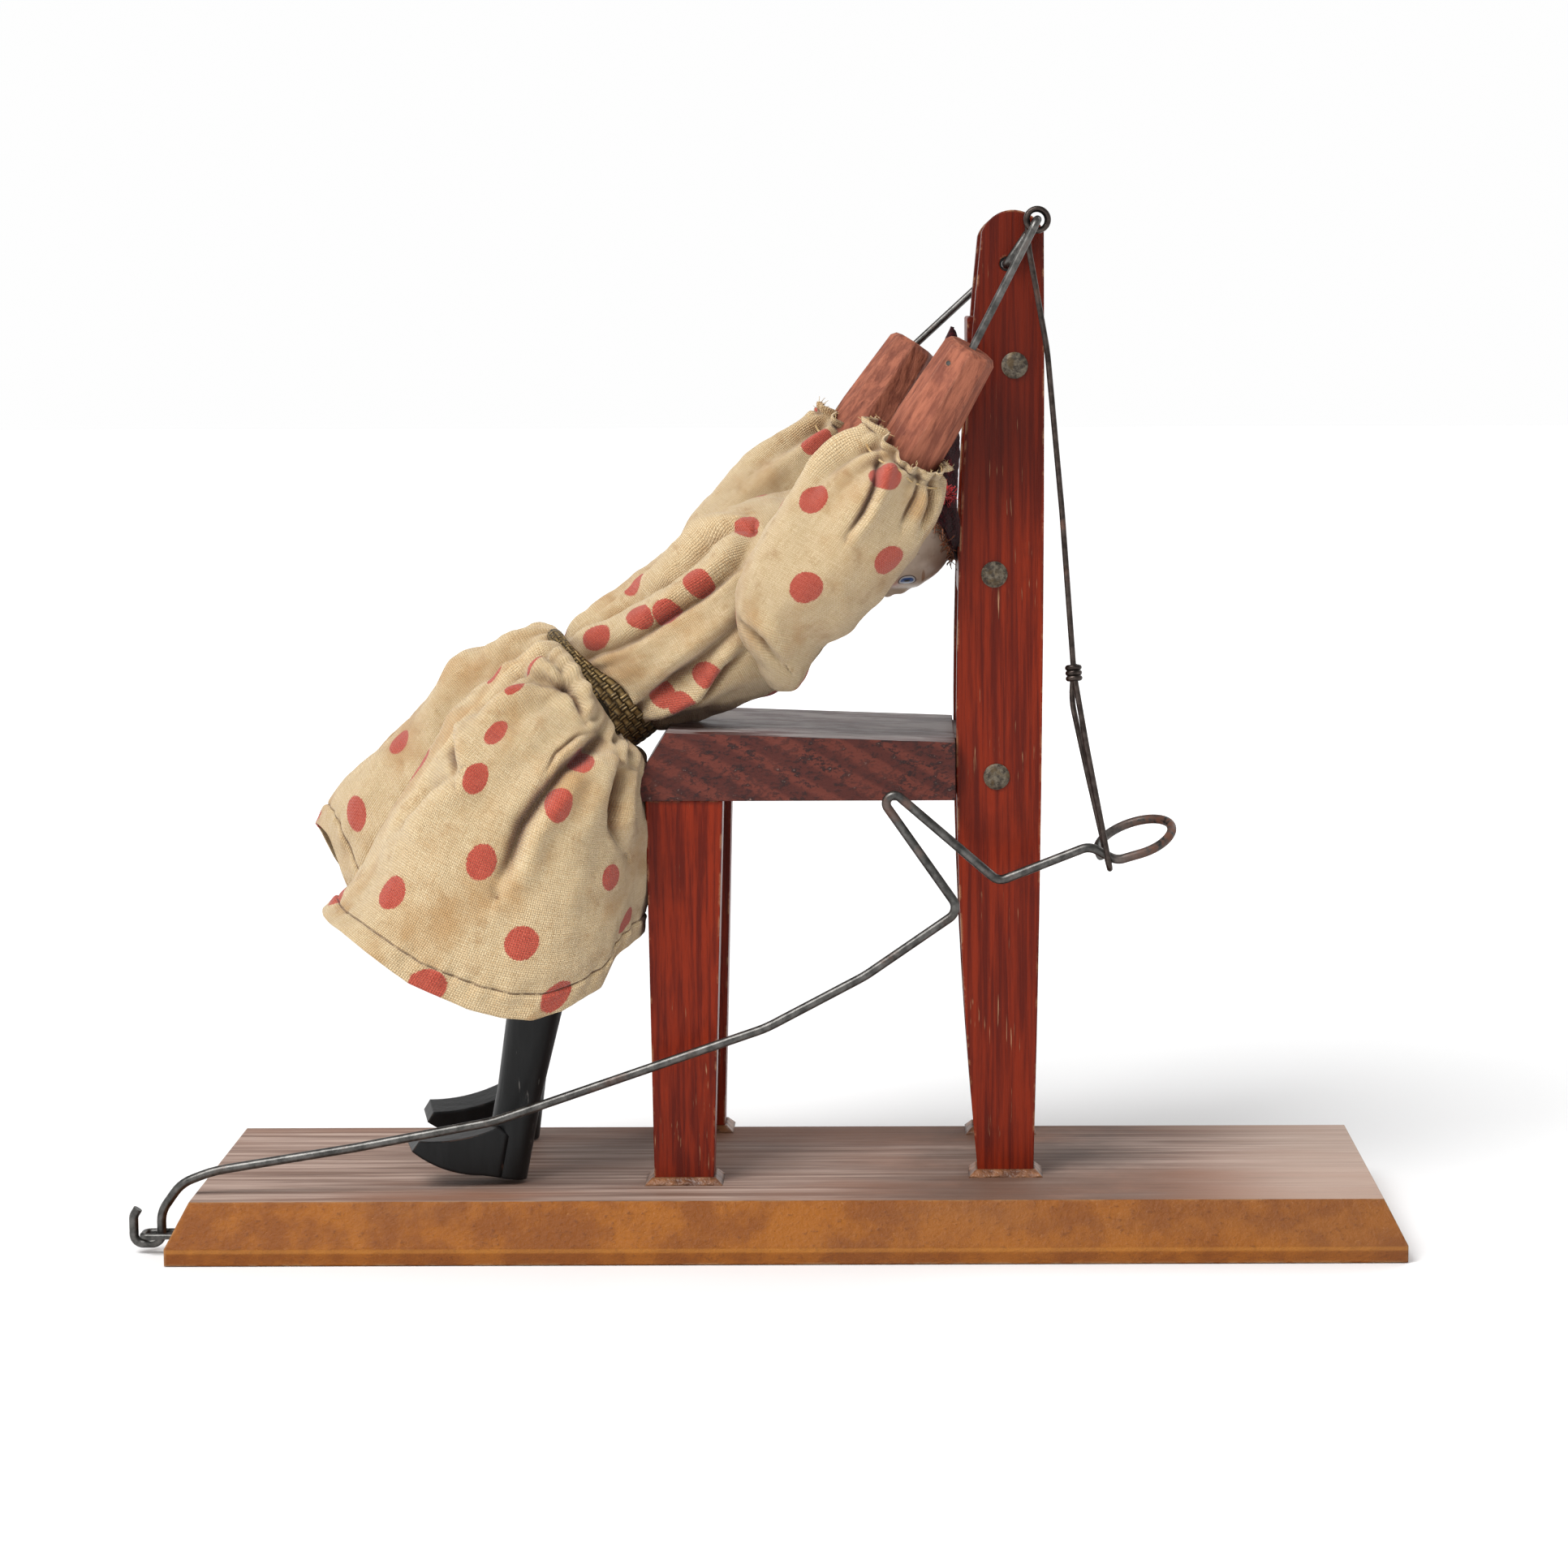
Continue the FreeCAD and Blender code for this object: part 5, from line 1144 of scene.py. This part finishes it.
# ---- finishes of the CAD nodes
def finish_nodes():
    red_dark, red_light, bare = srgb(94, 22, 6), srgb(136, 40, 12), srgb(196, 150, 112)
    upright = painted_wood("chair_upright", (780, 780, 26), red_dark, red_light, bare)
    crosswise = painted_wood("chair_cross", (780, 26, 780), red_dark, red_light, bare)
    seat = painted_wood("chair_seat", (30, 420, 420), srgb(76, 22, 14), srgb(112, 36, 20), bare, True)
    wire = steel("wire_steel", srgb(72, 71, 69), srgb(114, 112, 109), 0.55, True)
    link = steel("link_steel", srgb(52, 45, 42), srgb(88, 78, 73), 0.7)
    for look, names in ((base_wood(), "base_board"), (seat, "seat_board"),
            (crosswise, "upper_back_slat middle_back_slat"), (upright,
            "near_back_post far_back_post near_front_leg far_front_leg"), (nail_steel(), "back_nails"),
            (glue(), "foot_glue_beads"), (bare_wood(), "torso_block"),
            (wire, "lever_staple hand_lever crank_wire arm_pins shoulder_pin hip_pin"),
            (link, "link_rod"), (arm_wood(), "near_arm far_arm"),
            (black_wood(), "near_leg far_leg near_shoe far_shoe")):
        for name in names.split():
            thing = bpy.data.objects[name]
            if not thing.material_slots:
                thing.data.materials.append(look)
            for place in thing.material_slots:
                place.material = look


# ---- stage
def make_stage():
    """A white table in a bright room, one large soft lamp up on the left."""
    bpy.context.scene.view_settings.view_transform = "Standard"
    g = Graph("floor")
    # painted light: the table glows, more with distance from the object, so that it fades into the
    # white of the room
    away = g.vector("LENGTH", g.coords())
    g.finish((0.9, 0.9, 0.9), 0.55, specular=0.3)
    g.put(g.shader.inputs["Emission Color"], (1, 1, 1))
    g.put(g.shader.inputs["Emission Strength"], g.times(g.band(away, 0.22, 1.1), 0.62))
    reach = 6.0
    floor = piece_from("floor", [(-reach, -reach, 0), (reach, -reach, 0), (reach, reach, 0),
        (-reach, reach, 0)], [(0, 1, 2, 3)], None, g.material, False)
    floor.location.z = -0.0002
    world = bpy.data.worlds.new("studio")
    world.use_nodes = True
    tree = world.node_tree
    way = tree.nodes.new("ShaderNodeTexCoord").outputs["Generated"]
    height = tree.nodes.new("ShaderNodeSeparateXYZ")
    tree.links.new(way, height.inputs[0])
    dim = tree.nodes.new("ShaderNodeMapRange")
    dim.interpolation_type = "SMOOTHSTEP"
    for name, number in (("From Min", 0.24), ("From Max", 0.5), ("To Min", 0.99), ("To Max", 0.42)):
        dim.inputs[name].default_value = number
    tree.links.new(height.outputs[2], dim.inputs[0])
    tree.links.new(dim.outputs[0], tree.nodes["Background"].inputs[1])
    tree.nodes["Background"].inputs[0].default_value = (1, 1, 1, 1)
    bpy.context.scene.world = world
    for name, place, size, power in (("key", (-0.62, -0.75, 1.25), 0.75, 25.0),
            ("rim", (0.7, 0.9, 0.9), 0.8, 5.0)):
        data = bpy.data.lights.new(name, "AREA")
        data.size = size
        data.energy = power
        lamp = add_object(name, data)
        lamp.location = place
        aim = Vector((0.0, 0.0, 0.1)) - Vector(place)
        lamp.rotation_euler = aim.to_track_quat("-Z", "Y").to_euler()


# ---- everything
finish_nodes()
make_stage()
make_axle_hole_shade()
make_belt()
make_head()
make_neck()
cap_points = make_cap()
make_hair_and_tuft(cap_points)
make_blouse()
near_points = make_sleeve("near", NEAR_SLEEVE, -1, 41, NEAR_SLEEVE_FOLDS, NEAR_SLEEVE_SPOTS, (0.0, 0.5))
far_points = make_sleeve("far", FAR_SLEEVE, 1, 43, [], [(4.5, 23.2)], (0.0, 0.2))
make_frays("near", near_points, 51)
make_frays("far", far_points, 52)
make_trouser("near", NEAR_FRONT, NEAR_BACK, NEAR_HEM, -1, 61, NEAR_TROUSER_FOLDS, NEAR_TROUSER_SPOTS,
    (0.02, 0.48))
make_trouser("far", FAR_FRONT, FAR_BACK, FAR_HEM, 1, 67, [], [(-108.0, -61.2), (-97.5, -43.8)],
    (0.0, 0.3))
